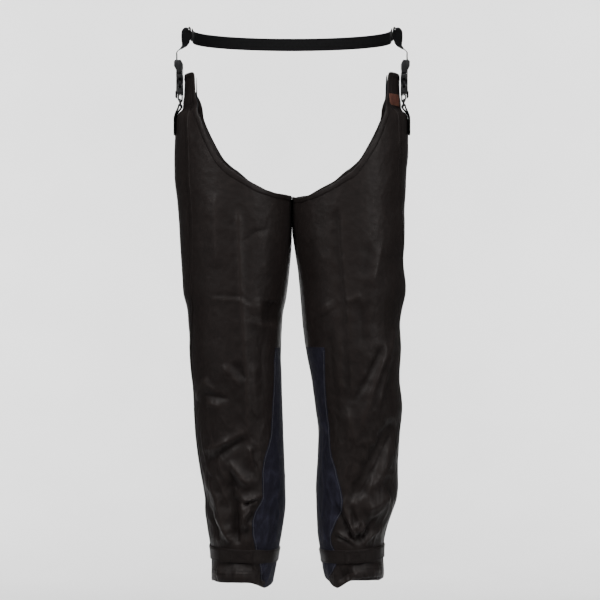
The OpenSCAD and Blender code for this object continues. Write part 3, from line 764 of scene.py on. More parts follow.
def uvs(nt, scale=(1, 1, 1), rot=0.0):
    t = nt.nodes.new("ShaderNodeTexCoord")
    m = nt.nodes.new("ShaderNodeMapping")
    m.inputs["Scale"].default_value = scale
    m.inputs["Rotation"].default_value = (0, 0, rot)
    nt.links.new(t.outputs["UV"], m.inputs["Vector"])
    return m.outputs[0]


def noise(nt, vec, scale, detail=3, rough=0.55, dist=0.0):
    n = node(nt, "ShaderNodeTexNoise", Scale=scale, Detail=detail, Roughness=rough, Distortion=dist)
    nt.links.new(vec, n.inputs["Vector"])
    return n.outputs["Fac"]


def wave(nt, vec, period_mm, direction="X", dist=0.0, profile="SIN", detail=0):
    n = nt.nodes.new("ShaderNodeTexWave")
    n.bands_direction = direction
    n.wave_profile = profile
    n.inputs["Scale"].default_value = 2 * math.pi / (20 * period_mm * MM)
    n.inputs["Distortion"].default_value = dist
    n.inputs["Detail"].default_value = detail
    nt.links.new(vec, n.inputs["Vector"])
    return n.outputs["Fac"]


def oilskin(name="waxed_cloth", tone=1.0):
    m, nt, b = new_mat(name)
    uv = uvs(nt)
    tall = uvs(nt, (1, 0.32, 1))
    wear_and_shade = nt.nodes.new("ShaderNodeAttribute")
    wear_and_shade.attribute_name = "wear_and_shade"
    big = noise(nt, tall, 22, 5, 0.6, 0.4)
    blot = noise(nt, uv, 95, 4, 0.62, 0.3)
    speck = noise(nt, uv, 620, 3, 0.6)
    t = mathn(nt, "ADD", mathn(nt, "MULTIPLY", big, 0.45), mathn(nt, "MULTIPLY", blot, 0.38))
    t = mathn(nt, "ADD", t, mathn(nt, "MULTIPLY", speck, 0.17))
    # the wear_and_shade attribute lightens proud ridges as wax wear and darkens the hollows between folds as painted
    # shade
    wear_shade = mathn(nt, "MULTIPLY", wear_and_shade.outputs["Fac"], 0.16)
    t2 = mathn(nt, "ADD", t, wear_shade, clamp=True)
    k = tone
    col = ramp(nt, t2, [(0.28, (0.0104 * k, 0.0077 * k, 0.0071 * k)), (0.5, (0.0156 * k, 0.0119 * k, 0.0111 * k)),
                        (0.72, (0.0228 * k, 0.0178 * k, 0.0166 * k))])
    # worn ridges and the pale bloom of dry wax
    dry = mathn(nt, "MULTIPLY", maprange(nt, wear_and_shade.outputs["Fac"], 0.15, 0.9, 0, 1), maprange(nt, blot, 0.35, 0.65, 0.2, 1))
    col = mixc(nt, mathn(nt, "MULTIPLY", dry, 0.42), col, (0.019 * k, 0.0142 * k, 0.0128 * k))
    nt.links.new(col, b.inputs["Base Color"])
    ro = maprange(nt, t2, 0.3, 0.7, 0.56, 0.42)
    nt.links.new(ro, b.inputs["Roughness"])
    b.inputs["Specular IOR Level"].default_value = 0.155
    b.inputs["Sheen Weight"].default_value = 0.012
    b.inputs["Sheen Roughness"].default_value = 0.45
    wx, wy = wave(nt, uv, 0.95, "X", 0.4), wave(nt, uv, 0.8, "Y", 0.4)
    weave = mathn(nt, "MAXIMUM", wx, wy)
    n1 = bump(nt, weave, 0.18, 0.00012)
    crk = node(nt, "ShaderNodeTexVoronoi", Scale=210.0)
    crk.feature = "DISTANCE_TO_EDGE"
    wobble = node(nt, "ShaderNodeTexNoise", Scale=140.0, Detail=2.0)
    mixv = nt.nodes.new("ShaderNodeVectorMath")
    mixv.operation = "MULTIPLY_ADD"
    nt.links.new(uv, wobble.inputs["Vector"])
    nt.links.new(wobble.outputs["Color"], mixv.inputs[0])
    mixv.inputs[1].default_value = (0.006, 0.006, 0.0)
    nt.links.new(uv, mixv.inputs[2])
    nt.links.new(mixv.outputs[0], crk.inputs["Vector"])
    cr = maprange(nt, crk.outputs["Distance"], 0.0, 0.12, 0, 1)
    n2 = bump(nt, cr, 0.10, 0.0004, n1)
    n3 = bump(nt, blot, 0.35, 0.0011, n2)
    nt.links.new(n3, b.inputs["Normal"])
    return m


def denim(name="denim"):
    m, nt, b = new_mat(name)
    tw = wave(nt, uvs(nt, (1, 1, 1), math.radians(62)), 1.25, "X", 0.5, detail=1)
    warp = noise(nt, uvs(nt, (900, 60, 1)), 1.0, 3, 0.6)
    fade = noise(nt, uvs(nt), 38, 5, 0.6, 0.5)
    wear_and_shade = nt.nodes.new("ShaderNodeAttribute")
    wear_and_shade.attribute_name = "wear_and_shade"
    t = mathn(nt, "ADD", mathn(nt, "MULTIPLY", tw, 0.34), mathn(nt, "MULTIPLY", warp, 0.30))
    t = mathn(nt, "ADD", t, mathn(nt, "MULTIPLY", fade, 0.36))
    # the wear_and_shade attribute fades proud ridges as real wear and darkens the hollows between folds as painted
    # shade
    t = mathn(nt, "ADD", t, mathn(nt, "MULTIPLY", wear_and_shade.outputs["Fac"], 0.22), clamp=True)
    col = ramp(nt, t, [(0.25, (0.0052, 0.0045, 0.0084)), (0.52, (0.0115, 0.0105, 0.0190)), (0.8, (0.0315, 0.0310, 0.0500))])
    nt.links.new(col, b.inputs["Base Color"])
    b.inputs["Roughness"].default_value = 0.82
    b.inputs["Specular IOR Level"].default_value = 0.14
    b.inputs["Sheen Weight"].default_value = 0.03
    b.inputs["Sheen Roughness"].default_value = 0.5
    n1 = bump(nt, tw, 0.5, 0.00025)
    n2 = bump(nt, warp, 0.35, 0.0002, n1)
    n3 = bump(nt, fade, 0.2, 0.0012, n2)
    nt.links.new(n3, b.inputs["Normal"])
    return m


def webbing_mat(name="webbing", col0=(0.0038, 0.0038, 0.0041), col1=(0.0150, 0.0150, 0.0156)):
    m, nt, b = new_mat(name)
    uv = uvs(nt)
    rib = wave(nt, uv, 1.55, "X", 0.12)
    pick = wave(nt, uv, 0.9, "Y", 0.2)
    chev = wave(nt, uvs(nt, (1, 1, 1), math.radians(38)), 1.5, "X", 0.1)
    h = mathn(nt, "ADD", mathn(nt, "MULTIPLY", rib, 0.5), mathn(nt, "MULTIPLY", pick, 0.3))
    h = mathn(nt, "ADD", h, mathn(nt, "MULTIPLY", chev, 0.2))
    dust = noise(nt, uv, 160, 4, 0.6)
    t = mathn(nt, "ADD", mathn(nt, "MULTIPLY", h, 0.55), mathn(nt, "MULTIPLY", dust, 0.45))
    nt.links.new(ramp(nt, t, [(0.2, col0), (0.85, col1)]), b.inputs["Base Color"])
    nt.links.new(maprange(nt, dust, 0.3, 0.7, 0.5, 0.68), b.inputs["Roughness"])
    b.inputs["Specular IOR Level"].default_value = 0.03
    b.inputs["Sheen Weight"].default_value = 0.0
    nt.links.new(bump(nt, h, 0.65, 0.00035), b.inputs["Normal"])
    return m


def obj_coords(nt, scale=(1, 1, 1)):
    t = nt.nodes.new("ShaderNodeTexCoord")
    m = nt.nodes.new("ShaderNodeMapping")
    m.inputs["Scale"].default_value = scale
    nt.links.new(t.outputs["Object"], m.inputs["Vector"])
    return m.outputs[0]


def plastic(name="buckle_plastic"):
    m, nt, b = new_mat(name)
    oc = obj_coords(nt)
    grain = noise(nt, oc, 1400, 3, 0.6)
    scuff = noise(nt, obj_coords(nt, (1, 1, 0.25)), 260, 5, 0.65, 0.6)
    edge = maprange(nt, scuff, 0.52, 0.68, 0, 1)
    col = ramp(nt, scuff, [(0.3, (0.0065, 0.0065, 0.007)), (0.7, (0.017, 0.017, 0.018))])
    nt.links.new(mixc(nt, mathn(nt, "MULTIPLY", edge, 0.3), col, (0.045, 0.045, 0.047)), b.inputs["Base Color"])
    nt.links.new(maprange(nt, scuff, 0.3, 0.7, 0.26, 0.42), b.inputs["Roughness"])
    b.inputs["Specular IOR Level"].default_value = 0.36
    nt.links.new(bump(nt, grain, 0.12, 0.00015, bump(nt, scuff, 0.10, 0.0003)), b.inputs["Normal"])
    return m


def enamel(name="ring_metal"):
    m, nt, b = new_mat(name)
    oc = obj_coords(nt)
    pits = noise(nt, oc, 900, 4, 0.6)
    chip = noise(nt, oc, 420, 3, 0.5)
    t = maprange(nt, chip, 0.63, 0.67, 0, 1)
    nt.links.new(mixc(nt, t, (0.012, 0.012, 0.013), (0.16, 0.155, 0.15)), b.inputs["Base Color"])
    nt.links.new(mathn(nt, "MULTIPLY", t, 0.9), b.inputs["Metallic"])
    nt.links.new(maprange(nt, pits, 0.3, 0.7, 0.22, 0.4), b.inputs["Roughness"])
    nt.links.new(bump(nt, pits, 0.2, 0.0001), b.inputs["Normal"])
    return m


def leather(name="label_leather"):
    m, nt, b = new_mat(name)
    uv = uvs(nt)
    v = node(nt, "ShaderNodeTexVoronoi", Scale=1500.0)
    v.feature = "DISTANCE_TO_EDGE"
    nt.links.new(uv, v.inputs["Vector"])
    grain = maprange(nt, v.outputs["Distance"], 0, 0.3, 0, 1)
    stain = noise(nt, uv, 130, 5, 0.62, 0.4)
    col = ramp(nt, stain, [(0.28, (0.060, 0.022, 0.015)), (0.52, (0.120, 0.040, 0.025)), (0.74, (0.185, 0.072, 0.046))])
    nt.links.new(mixc(nt, mathn(nt, "MULTIPLY", mathn(nt, "SUBTRACT", 1.0, grain), 0.35), col, (0.04, 0.014, 0.01)), b.inputs["Base Color"])
    nt.links.new(maprange(nt, stain, 0.3, 0.7, 0.62, 0.45), b.inputs["Roughness"])
    nt.links.new(bump(nt, grain, 0.4, 0.00022, bump(nt, stain, 0.3, 0.0006)), b.inputs["Normal"])
    return m


def thread(name, c):
    m, nt, b = new_mat(name)
    oc = obj_coords(nt)
    n = noise(nt, oc, 2600, 2, 0.5)
    lo = tuple(x * 0.6 for x in c)
    hi = tuple(min(1, x * 1.35) for x in c)
    nt.links.new(ramp(nt, n, [(0.3, lo), (0.7, hi)]), b.inputs["Base Color"])
    b.inputs["Roughness"].default_value = 0.75
    b.inputs["Specular IOR Level"].default_value = 0.15
    b.inputs["Sheen Weight"].default_value = 0.0
    nt.links.new(bump(nt, n, 0.5, 0.0002), b.inputs["Normal"])
    return m


def lining_mat(name="lining"):
    m, nt, b = new_mat(name)
    uv = uvs(nt)
    grid = mathn(nt, "MAXIMUM", wave(nt, uv, 0.7, "X"), wave(nt, uv, 0.7, "Y"))
    n = noise(nt, uv, 60, 4, 0.6)
    nt.links.new(ramp(nt, n, [(0.3, (0.016, 0.016, 0.019)), (0.7, (0.034, 0.034, 0.038))]), b.inputs["Base Color"])
    nt.links.new(maprange(nt, n, 0.3, 0.7, 0.55, 0.42), b.inputs["Roughness"])
    nt.links.new(bump(nt, grid, 0.3, 0.0002, bump(nt, n, 0.3, 0.001)), b.inputs["Normal"])
    return m


def pad_mat(name="cut_pad"):
    m, nt, b = new_mat(name)
    uv = uvs(nt)
    knit = wave(nt, uv, 2.2, "X", 0.5)
    loop = wave(nt, uv, 1.8, "Y", 0.8)
    h = mathn(nt, "MULTIPLY", knit, loop)
    n = noise(nt, uv, 80, 4, 0.6)
    t = mathn(nt, "ADD", mathn(nt, "MULTIPLY", h, 0.5), mathn(nt, "MULTIPLY", n, 0.5))
    nt.links.new(ramp(nt, t, [(0.2, (0.20, 0.165, 0.07)), (0.8, (0.46, 0.40, 0.21))]), b.inputs["Base Color"])
    b.inputs["Roughness"].default_value = 0.9
    nt.links.new(bump(nt, h, 0.8, 0.0009), b.inputs["Normal"])
    return m


def pile_mat(name="hook_loop", scale=900.0):
    m, nt, b = new_mat(name)
    uv = uvs(nt)
    v = node(nt, "ShaderNodeTexVoronoi", Scale=scale)
    nt.links.new(uv, v.inputs["Vector"])
    n = noise(nt, uv, 300, 4, 0.7)
    nt.links.new(ramp(nt, n, [(0.3, (0.006, 0.006, 0.007)), (0.7, (0.022, 0.022, 0.024))]), b.inputs["Base Color"])
    b.inputs["Roughness"].default_value = 0.88
    b.inputs["Sheen Weight"].default_value = 0.3
    nt.links.new(bump(nt, v.outputs["Distance"], 0.9, 0.0008), b.inputs["Normal"])
    return m


M_OIL = oilskin()
M_OIL2 = oilskin("waxed_cloth_trim", 0.92)
M_DENIM = denim()
M_WEB = webbing_mat()
M_PLASTIC = plastic()
M_RING = enamel()
M_LABEL = leather()
M_THREAD = thread("thread_black", (0.0095, 0.0074, 0.0068))
M_PALE = thread("thread_pale", (0.085, 0.088, 0.098))
M_TAN = thread("thread_tan", (0.16, 0.085, 0.05))
M_LINING = lining_mat()
M_PAD = pad_mat()
M_LOOP = pile_mat()
M_HOOK = pile_mat("hook_tape", 1500.0)


def bend(ob, side, slot):
    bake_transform(ob)
    return ob


def on(ob, body):
    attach(ob, body)
    return ob


def grid_rows(leg, A, hem_gap, top_gap, n_low, n_top, z_split=-400.0):
    """Heights for columns of angles A (columns,), as rows x columns."""
    lo = leg.hem(A) + hem_gap
    hi = leg.top(A) - top_gap
    t = np.linspace(0, 1, n_low + 1)[:, None]
    s = np.linspace(0, 1, n_top + 1)[1:, None]
    return np.concatenate([lo + (z_split - lo) * t, z_split + (hi - z_split) * s], 0)


for side, leg in LEGS.items():
    g = leg.g
    # ---------------------------------------------------------------- shells
    nc = 148
    U = np.linspace(0, 1, nc)
    rowsF = 236, 88
    # the front: from the side seam round to the inner seam
    z0 = grid_rows(leg, 36 + U * 144, 0.6, 0.8, *rowsF)
    for _ in range(4):
        a0 = leg.seam(z0) + U[None, :] * (180 - leg.seam(z0))
        lo, hi = leg.hem(a0[0]) + 0.6, leg.top(a0[-1]) - 0.8
        t = np.linspace(0, 1, rowsF[0] + 1)[:, None]
        s = np.linspace(0, 1, rowsF[1] + 1)[1:, None]
        z0 = np.concatenate([lo + (-400 - lo) * t, -400 + (hi + 400) * s], 0)
    a0 = leg.seam(z0) + U[None, :] * (180 - leg.seam(z0))
    fp = thick_sheet(f"{side}_front_panel", leg, a0, z0, 0.0, -1.2, M_OIL)
    bend(fp, side, "waxed_cloth")
    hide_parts(f"{side}_thigh_front_shell", f"{side}_knee_front_shell", f"{side}_shin_front_shell")
    # the outer and back
    nb = 136
    U = np.linspace(0, 1, nb)
    z1 = grid_rows(leg, -180 + U * 216, 0.6, 0.8, *rowsF)
    for _ in range(4):
        a1 = -180 + U[None, :] * (180 + leg.seam(z1)) - 0.0
        lo, hi = leg.hem(a1[0]) + 0.6, leg.top(a1[-1]) - 0.8
        t = np.linspace(0, 1, rowsF[0] + 1)[:, None]
        s = np.linspace(0, 1, rowsF[1] + 1)[1:, None]
        z1 = np.concatenate([lo + (-400 - lo) * t, -400 + (hi + 400) * s], 0)
    a1 = -180 + U[None, :] * (180 + leg.seam(z1))
    bp = thick_sheet(f"{side}_back_panel", leg, a1, z1, 0.0, -1.2, M_OIL)
    bend(bp, side, "waxed_cloth")
    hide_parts(f"{side}_thigh_back_shell", f"{side}_knee_back_shell", f"{side}_calf_back_shell")

    # ---------------------------------------------------------------- lining and pad
    nl = 76
    U = np.linspace(0, 1, nl)
    A = 40 + U * 138
    zl = grid_rows(leg, A, 12, 3.0, 110, 44)
    al = np.broadcast_to(A[None, :], zl.shape)
    s_mm = np.radians(al) * 100
    q1 = np.abs(np.sin((s_mm + zl) * math.pi / 62.0))
    q2 = np.abs(np.sin((s_mm - zl) * math.pi / 62.0))
    puff = 0.9 * (np.clip(q1 * q2, 0, 1) ** 0.35)
    lin = thick_sheet(f"{side}_quilted_lining", leg, al, zl, -6.0 + 0 * puff, -6.2 - puff, M_LINING, wear_and_shade=False)
    bend(lin, side, "lining")
    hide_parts(f"{side}_thigh_lining", f"{side}_knee_lining", f"{side}_shin_lining")
    npd = 60
    U = np.linspace(0, 1, npd)
    A = 44 + U * 118
    zp = grid_rows(leg, A, 48, 34.0, 96, 30)
    ap = np.broadcast_to(A[None, :], zp.shape)
    r_, c_ = ap.shape
    ey = np.minimum(np.arange(r_), np.arange(r_)[::-1])[:, None]
    ex = np.minimum(np.arange(c_), np.arange(c_)[::-1])[None, :]
    rim = np.clip(np.minimum(ey, ex) / 3.0, 0, 1) ** 0.5
    mid = -4.1
    wave_p = 0.18 * np.sin(np.radians(ap) * 100 / 9.0)
    pad = thick_sheet(f"{side}_cut_pad_pack", leg, ap, zp, mid + (1.45 + wave_p) * (0.25 + 0.75 * rim),
                      mid - (1.45 + wave_p) * (0.25 + 0.75 * rim), M_PAD, wear_and_shade=False)
    bend(pad, side, "cut_pad")
    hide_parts(f"{side}_thigh_pad", f"{side}_knee_pad", f"{side}_shin_pad")

    # ---------------------------------------------------------------- denim calf panel
    c = np.array(DENIM_FORE[side], float)
    fa, fz = leg.lift(c[:, 0], c[:, 1])
    o = np.argsort(fz)
    fa, fz = fa[o], fz[o]
    ZT = float(fz[-1])
    aft = [(-1080, 238), (-1000, 234), (-900, 226), (-800, 212), (-700, 196), (ZT - 40, 183), (ZT, 172)]
    nr, ncol = 150, 52
    zr = np.linspace(0, 1, nr)
    Zc = np.zeros((nr, ncol))
    Ac = np.zeros((nr, ncol))
    for j in range(nr):
        zj = -1066 + (ZT + 1066) * zr[j]
        f0 = float(np.interp(zj, fz, fa)) - 0.4
        f1 = float(np.interp(zj, [p for p, q in aft], [q for p, q in aft]))
        f1 = max(f1, f0 + 2.0)
        Ac[j] = np.linspace(f0, f1, ncol)
        Zc[j] = zj
    # keep the lowest rows on the hem line
    k = smoothstep(-980, -1060, Zc)
    Zc = Zc + k * (leg.hem(Ac) + 1.0 - (-1066.0)) * smoothstep(0, 1, (-940 - Zc) / 126.0)
    dn = thick_sheet(f"{side}_calf_denim", leg, Ac, Zc, 0.95, 0.12, M_DENIM)
    bend(dn, side, "denim")
    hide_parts(f"{side}_calf_panel")
    runs = []
    for d_mm in (2.2,):
        da = d_mm / leg.metric(Ac[:, 0], Zc[:, 0])
        runs.append(leg_run(leg, Ac[2:-2, 0] + da[2:-2], Zc[2:-2, 0], 1.05))
        runs.append(leg_run(leg, Ac[2:-2, -1] - da[2:-2], Zc[2:-2, -1], 1.05))
    st = stitches(f"{side}_denim_topstitch", runs, M_PALE, length=3.0, gap=1.0, wide=0.48, tall=0.36)
    bend(st, side, "denim")

    # ---------------------------------------------------------------- seams
    zs = np.arange(float(leg.hem(10)) + 3, -80.0, 3.0)
    sa = leg.seam(zs)
    ss = seam_strip(f"{side}_side_seam", leg, sa, zs, 5.2, M_OIL2)
    bend(ss, side, "waxed_cloth")
    m = leg.metric(sa, zs)
    runs = [leg_run(leg, sa + d / m, zs, 0.95) for d in (-3.7, 3.1)]
    st = stitches(f"{side}_side_seam_stitches", runs, M_THREAD)
    bend(st, side, "waxed_cloth")
    zs = np.arange(float(leg.hem(180)) + 3, float(leg.top(179)) - 4, 3.0)
    ia = np.full(zs.shape, 180.0 - 3.2 * g)
    ss = seam_strip(f"{side}_inseam", leg, ia, zs, 4.2, M_OIL2, lift=1.15)
    bend(ss, side, "waxed_cloth")
    m = leg.metric(ia, zs)
    keep = (zs > ZT + 4) & (zs < -450)
    runs = [leg_run(leg, (ia + d / m)[keep], zs[keep], 0.5) for d in (-2.9, 2.4)]
    st = stitches(f"{side}_inseam_stitches", runs, M_THREAD)
    bend(st, side, "waxed_cloth")

    # ---------------------------------------------------------------- bound top edge
    es, ez = leg.edge_s, leg.edge_z
    loop, total = resample(np.stack([es, ez], 1), 3.0)
    loop = loop[:-1]
    ts = np.roll(loop, -1, 0) - np.roll(loop, 1, 0)
    ts[0] = loop[1] - (loop[-1] - [360 * 1.95, 0])
    ts[-1] = (loop[0] + [360 * 1.95, 0]) - loop[-2]
    ts /= np.linalg.norm(ts, axis=1, keepdims=True)
    perp = np.stack([ts[:, 1], -ts[:, 0]], 1)
    prof = [(8.6, -0.25), (8.9, 0.35), (8.2, 0.7), (5.0, 0.9), (2.2, 0.95), (0.4, 0.85), (-0.9, 0.35), (-1.3, -0.6),
            (-0.9, -1.6), (0.4, -2.2), (2.2, -2.35), (6.0, -2.3), (8.3, -2.2), (8.8, -1.7), (8.4, -1.1)]
    V, UVS, WEAR_SHADE = [], [], []
    for q, off in prof:
        s_, z_ = loop[:, 0] + perp[:, 0] * q, loop[:, 1] + perp[:, 1] * q
        a_ = s_ / 1.95
        V.append(leg.pt(a_, z_, off))
        UVS.append(np.stack([np.arange(len(loop)) * 3.0, np.full(len(loop), q)], 1))
        # the cloth's field of wax wear and painted fold shade, lifted at the folded edge as edge wear
        WEAR_SHADE.append(leg._pick(leg.W, a_, z_) + (0.12 if -1.0 < q < 3 and off > -0.7 else -0.1))
    V, UVS, WEAR_SHADE = np.stack(V, 1), np.stack(UVS, 1), np.stack(WEAR_SHADE, 1)
    bd = make(f"{side}_top_binding", V.reshape(-1, 3), tube_faces(len(loop), len(prof), closed_path=True),
              UVS.reshape(-1, 2), WEAR_SHADE.ravel(), M_OIL2)
    on(bd, f"{side}_thigh")
    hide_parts(f"{side}_top_facing")
    runs = []
    for q in (6.9,):
        s_, z_ = loop[:, 0] + perp[:, 0] * q, loop[:, 1] + perp[:, 1] * q
        a_ = np.append(s_, s_[0] + 702) / 1.95
        P_, N_ = leg_run(leg, a_, np.append(z_, z_[0]), 0.95)
        ok = np.abs(P_[:, 0]) > 4.0
        cut = np.where(np.diff(ok.astype(int)) != 0)[0] + 1
        for part in np.split(np.arange(len(ok)), cut):
            if ok[part[0]] and len(part) > 3:
                runs.append((P_[part], N_[part]))
    st = stitches(f"{side}_top_binding_stitches", runs, M_THREAD)
    on(st, f"{side}_thigh")

    # ---------------------------------------------------------------- hem
    ha = np.arange(-180, 180, 1.6)
    prof = [(25.2, -0.2), (25.4, 0.25), (24.6, 0.5), (14.0, 0.62), (4.0, 0.78), (0.8, 0.62), (-0.6, 0.0), (-0.9, -0.7),
            (-0.5, -1.6), (0.8, -2.3), (4.0, -2.6), (14, -2.5), (24.4, -2.45), (25.2, -2.1), (25.0, -1.1)]
    hz = leg.hem(ha)
    V = np.stack([leg.pt(ha, hz + q, off) for q, off in prof], 1)
    UVS = np.stack([np.stack([np.radians(ha) * 100, hz + q], 1) for q, off in prof], 1)
    # the cloth's field of wax wear and painted fold shade, lifted at the folded hem edge as edge wear
    WEAR_SHADE = np.stack([leg._pick(leg.W, ha, hz + q) + (0.15 if q < 1.5 else 0.0) for q, off in prof], 1)
    hm = make(f"{side}_hem_fold", V.reshape(-1, 3), tube_faces(len(ha), len(prof), closed_path=True),
              UVS.reshape(-1, 2), WEAR_SHADE.ravel(), M_OIL2)
    on(hm, f"{side}_shin")
    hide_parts(f"{side}_hem_facing")
    hc = np.append(ha, 180.0)
    runs = [leg_run(leg, hc, leg.hem(hc) + q, 0.72) for q in (21.5, 15.5)]
    st = stitches(f"{side}_hem_stitches", runs, M_THREAD)
    on(st, f"{side}_shin")

    # ---------------------------------------------------------------- ankle strap and tab
    zc = -1004.0
    tilt = 4.2 if side == "left" else 2.2

    def rise(A):
        """height of the band's middle line above the plain one"""
        A = np.asarray(A, float)
        return tilt * np.cos(np.radians(A)) + 0.5 * np.sin(np.radians(3 * A + 40)) * (1 if side == "left" else -1)


    def band(name, A, zl_, zh_, o0, o1, mat, body, taper=0.0, n=9, rnd=1.2):
        """A flat band round the ankle; o0, o1 inner and outer offset, arrays by column."""
        v = np.linspace(-1, 1, n)
        AA = np.broadcast_to(A[None, :], (n, len(A)))
        half = (zh_ - zl_) / 2
        ZZ = np.broadcast_to((zh_ + zl_) / 2 + v[:, None] * half, AA.shape)
        ed = 1 - np.clip((np.abs(v) - 0.86) / 0.14, 0, 1)[:, None] ** 2 * 0.55
        o0_, o1_ = np.broadcast_to(np.asarray(o0, float), A.shape), np.broadcast_to(np.asarray(o1, float), A.shape)
        m_ = (o0_ + o1_) / 2
        wob = 0.55 * np.sin(np.radians(AA * 7 + 25)) + 0.4 * np.sin(np.radians(AA * 13 + 70))
        ZZ = ZZ + rise(AA) + v[:, None] * wob
        P = leg.base(AA, ZZ)
        N = leg.normal(AA, ZZ)
        R = leg.relief(AA, np.clip(ZZ, zc - 10, zc + 10)) * 0.6
        O = P + N * (R + m_ + (o1_ - m_) * ed)[..., None]
        I = P + N * (R + m_ - (m_ - o0_) * ed)[..., None]
        r, c = AA.shape
        nn = r * c
        f = []
        for y in range(r - 1):
            for x in range(c - 1):
                q = (y * c + x, y * c + x + 1, (y + 1) * c + x + 1, (y + 1) * c + x)
                f += [q, tuple(k + nn for k in q[::-1])]
        for x in range(c - 1):
            b = (r - 1) * c
            f += [(x + 1, x, nn + x, nn + x + 1), (b + x, b + x + 1, nn + b + x + 1, nn + b + x)]
        for y in range(r - 1):
            f += [(y * c, (y + 1) * c, nn + (y + 1) * c, nn + y * c),
                  ((y + 1) * c + c - 1, y * c + c - 1, nn + y * c + c - 1, nn + (y + 1) * c + c - 1)]
        uv = np.stack([np.radians(AA) * 90, ZZ], -1).reshape(-1, 2)
        ww = np.full(nn, -0.1)
        ob = make(name, np.concatenate([O.reshape(-1, 3), I.reshape(-1, 3)]), f, np.concatenate([uv, uv]),
                  np.concatenate([ww, ww * 0]), mat)
        return on(ob, body)

    def band_run(A, Z, off):
        Z = Z + rise(A)
        P, N = leg.base(A, Z), leg.normal(A, Z)
        R = leg.relief(A, np.clip(Z, zc - 10, zc + 10)) * 0.6
        return P + N * (R + off)[..., None], N

    zlo, zhi = zc - 12.6, zc + 12.6
    A = np.linspace(98.5, 416.0, 240)

    def band_off(A):
        A = np.asarray(A, float)
        o = 1.55 + 0.25 * np.sin(np.radians(A * 5)) + 0.3 * np.sin(np.radians(A * 11 + 30 * g))
        return o + (0.75 - o) * smoothstep(407.5, 412.5, A)

    o_in = band_off(A)
    ab = band(f"{side}_ankle_band", A, zlo, zhi, o_in, o_in + 1.45, M_OIL2, f"{side}_shin")
    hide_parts(f"{side}_ankle_strap")
    runs = []
    for zz_ in (zlo + 2.6, zhi - 2.6):
        AA_ = np.linspace(100.5, 406.5, 240)
        runs.append(band_run(AA_, np.full(AA_.shape, zz_), band_off(AA_) + 1.5))
    st = stitches(f"{side}_ankle_band_stitches", runs, M_THREAD)
    on(st, f"{side}_shin")
    # the free end: a stiffer boxed tab that closes on the loop patch
    A = np.linspace(53.0, 100.5, 40)
    lift_end = 1.9 * smoothstep(93, 99.5, A)
    tb = band(f"{side}_ankle_closure", A, zlo - 0.3, zhi + 0.3, 2.6 + lift_end, 4.15 + lift_end, M_OIL2,
              f"{side}_ankle_tab", n=13)
    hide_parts(f"{side}_ankle_tab")
    runs = []
    bx = [(71, zlo + 3.2), (98, zlo + 3.2), (98, zhi - 3.2), (71, zhi - 3.2), (71, zlo + 3.2)]
    extra = [[(71, zlo + 3.2), (98, zhi - 3.2)], [(71, zhi - 3.2), (98, zlo + 3.2)],
             [(54, zhi - 2.6), (71, zhi - 2.6)], [(54, zlo + 2.6), (71, zlo + 2.6)]]
    for poly in [bx] + extra:
        p, _t = resample(np.array(poly, float), 1.0)
        runs.append(band_run(p[:, 0], p[:, 1], 4.2 + 1.9 * smoothstep(93, 99.5, p[:, 0])))
    st = stitches(f"{side}_ankle_box_stitches", runs, M_THREAD, length=2.6, gap=1.0, wide=0.5)
    on(st, f"{side}_ankle_tab")
    A = np.linspace(63, 97, 28)
    lp = band(f"{side}_loop_patch", A, zlo + 4, zhi - 4, 0.15, 1.15, M_LOOP, f"{side}_shin")
    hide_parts(f"{side}_ankle_loop_patch")
    A = np.linspace(71, 96, 24)
    hk = band(f"{side}_hook_patch", A, zlo + 4, zhi - 4, 1.5, 2.55, M_HOOK, f"{side}_ankle_tab")
    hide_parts(f"{side}_ankle_hook_patch")

    # ---------------------------------------------------------------- hip webbing
    Yv = (0, 1, 0)
    X = lambda v: g * v

    def xz(points, y=HY):
        return [(X(p[0]), y, p[1]) for p in points]

    arc = [(216 + 3.55 * math.cos(math.radians(t)), -138 + 3.55 * math.sin(math.radians(t))) for t in range(-25, 226, 12)]
    path = [(227.7, -194), (227.7, -176), (227.6, -160), (225.6, -153)] + arc + [(215.4, -143.4), (223.0, -152.6), (225.95, -160), (225.95, -176), (225.95, -193)]
    ht = ribbon(f"{side}_hip_webbing", xz(path), [Yv] * len(path), M_WEB, width=25, thick=1.5, step=0.9)
    on(ht, f"{side}_thigh")
    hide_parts(f"{side}_hip_tab")
    rr = []
    face = 228.5
    bxz = [(HY - 9.6, -191), (HY + 9.6, -191), (HY + 9.6, -165), (HY - 9.6, -165), (HY - 9.6, -191), (HY + 9.6, -165)]
    bx2 = [(HY + 9.6, -191), (HY - 9.6, -165)]
    for poly in (bxz, bx2):
        p, _t = resample(np.array(poly, float), 1.0)
        rr.append((np.stack([np.full(len(p), X(face)), p[:, 0], p[:, 1]], 1), np.tile([g, 0, 0], (len(p), 1))))
    st = stitches(f"{side}_hip_box_stitches", rr, M_THREAD, length=2.4, gap=0.9, wide=0.45)
    on(st, f"{side}_thigh")
    # loop between the socket's bar and the ring
    lt = [(216 + 3.55 * math.cos(math.radians(t)), -113.5 + 3.55 * math.sin(math.radians(t))) for t in range(0, 181, 12)]
    lb = [(216 + 3.55 * math.cos(math.radians(t)), -126 + 3.55 * math.sin(math.radians(t))) for t in range(180, 361, 12)]
    bl = ribbon(f"{side}_buckle_webbing", xz(lt + lb), [Yv] * (len(lt) + len(lb)), M_WEB, width=25, thick=1.45, step=0.9, closed=True)
    on(bl, f"{side}_thigh")
    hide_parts(f"{side}_buckle_loop")
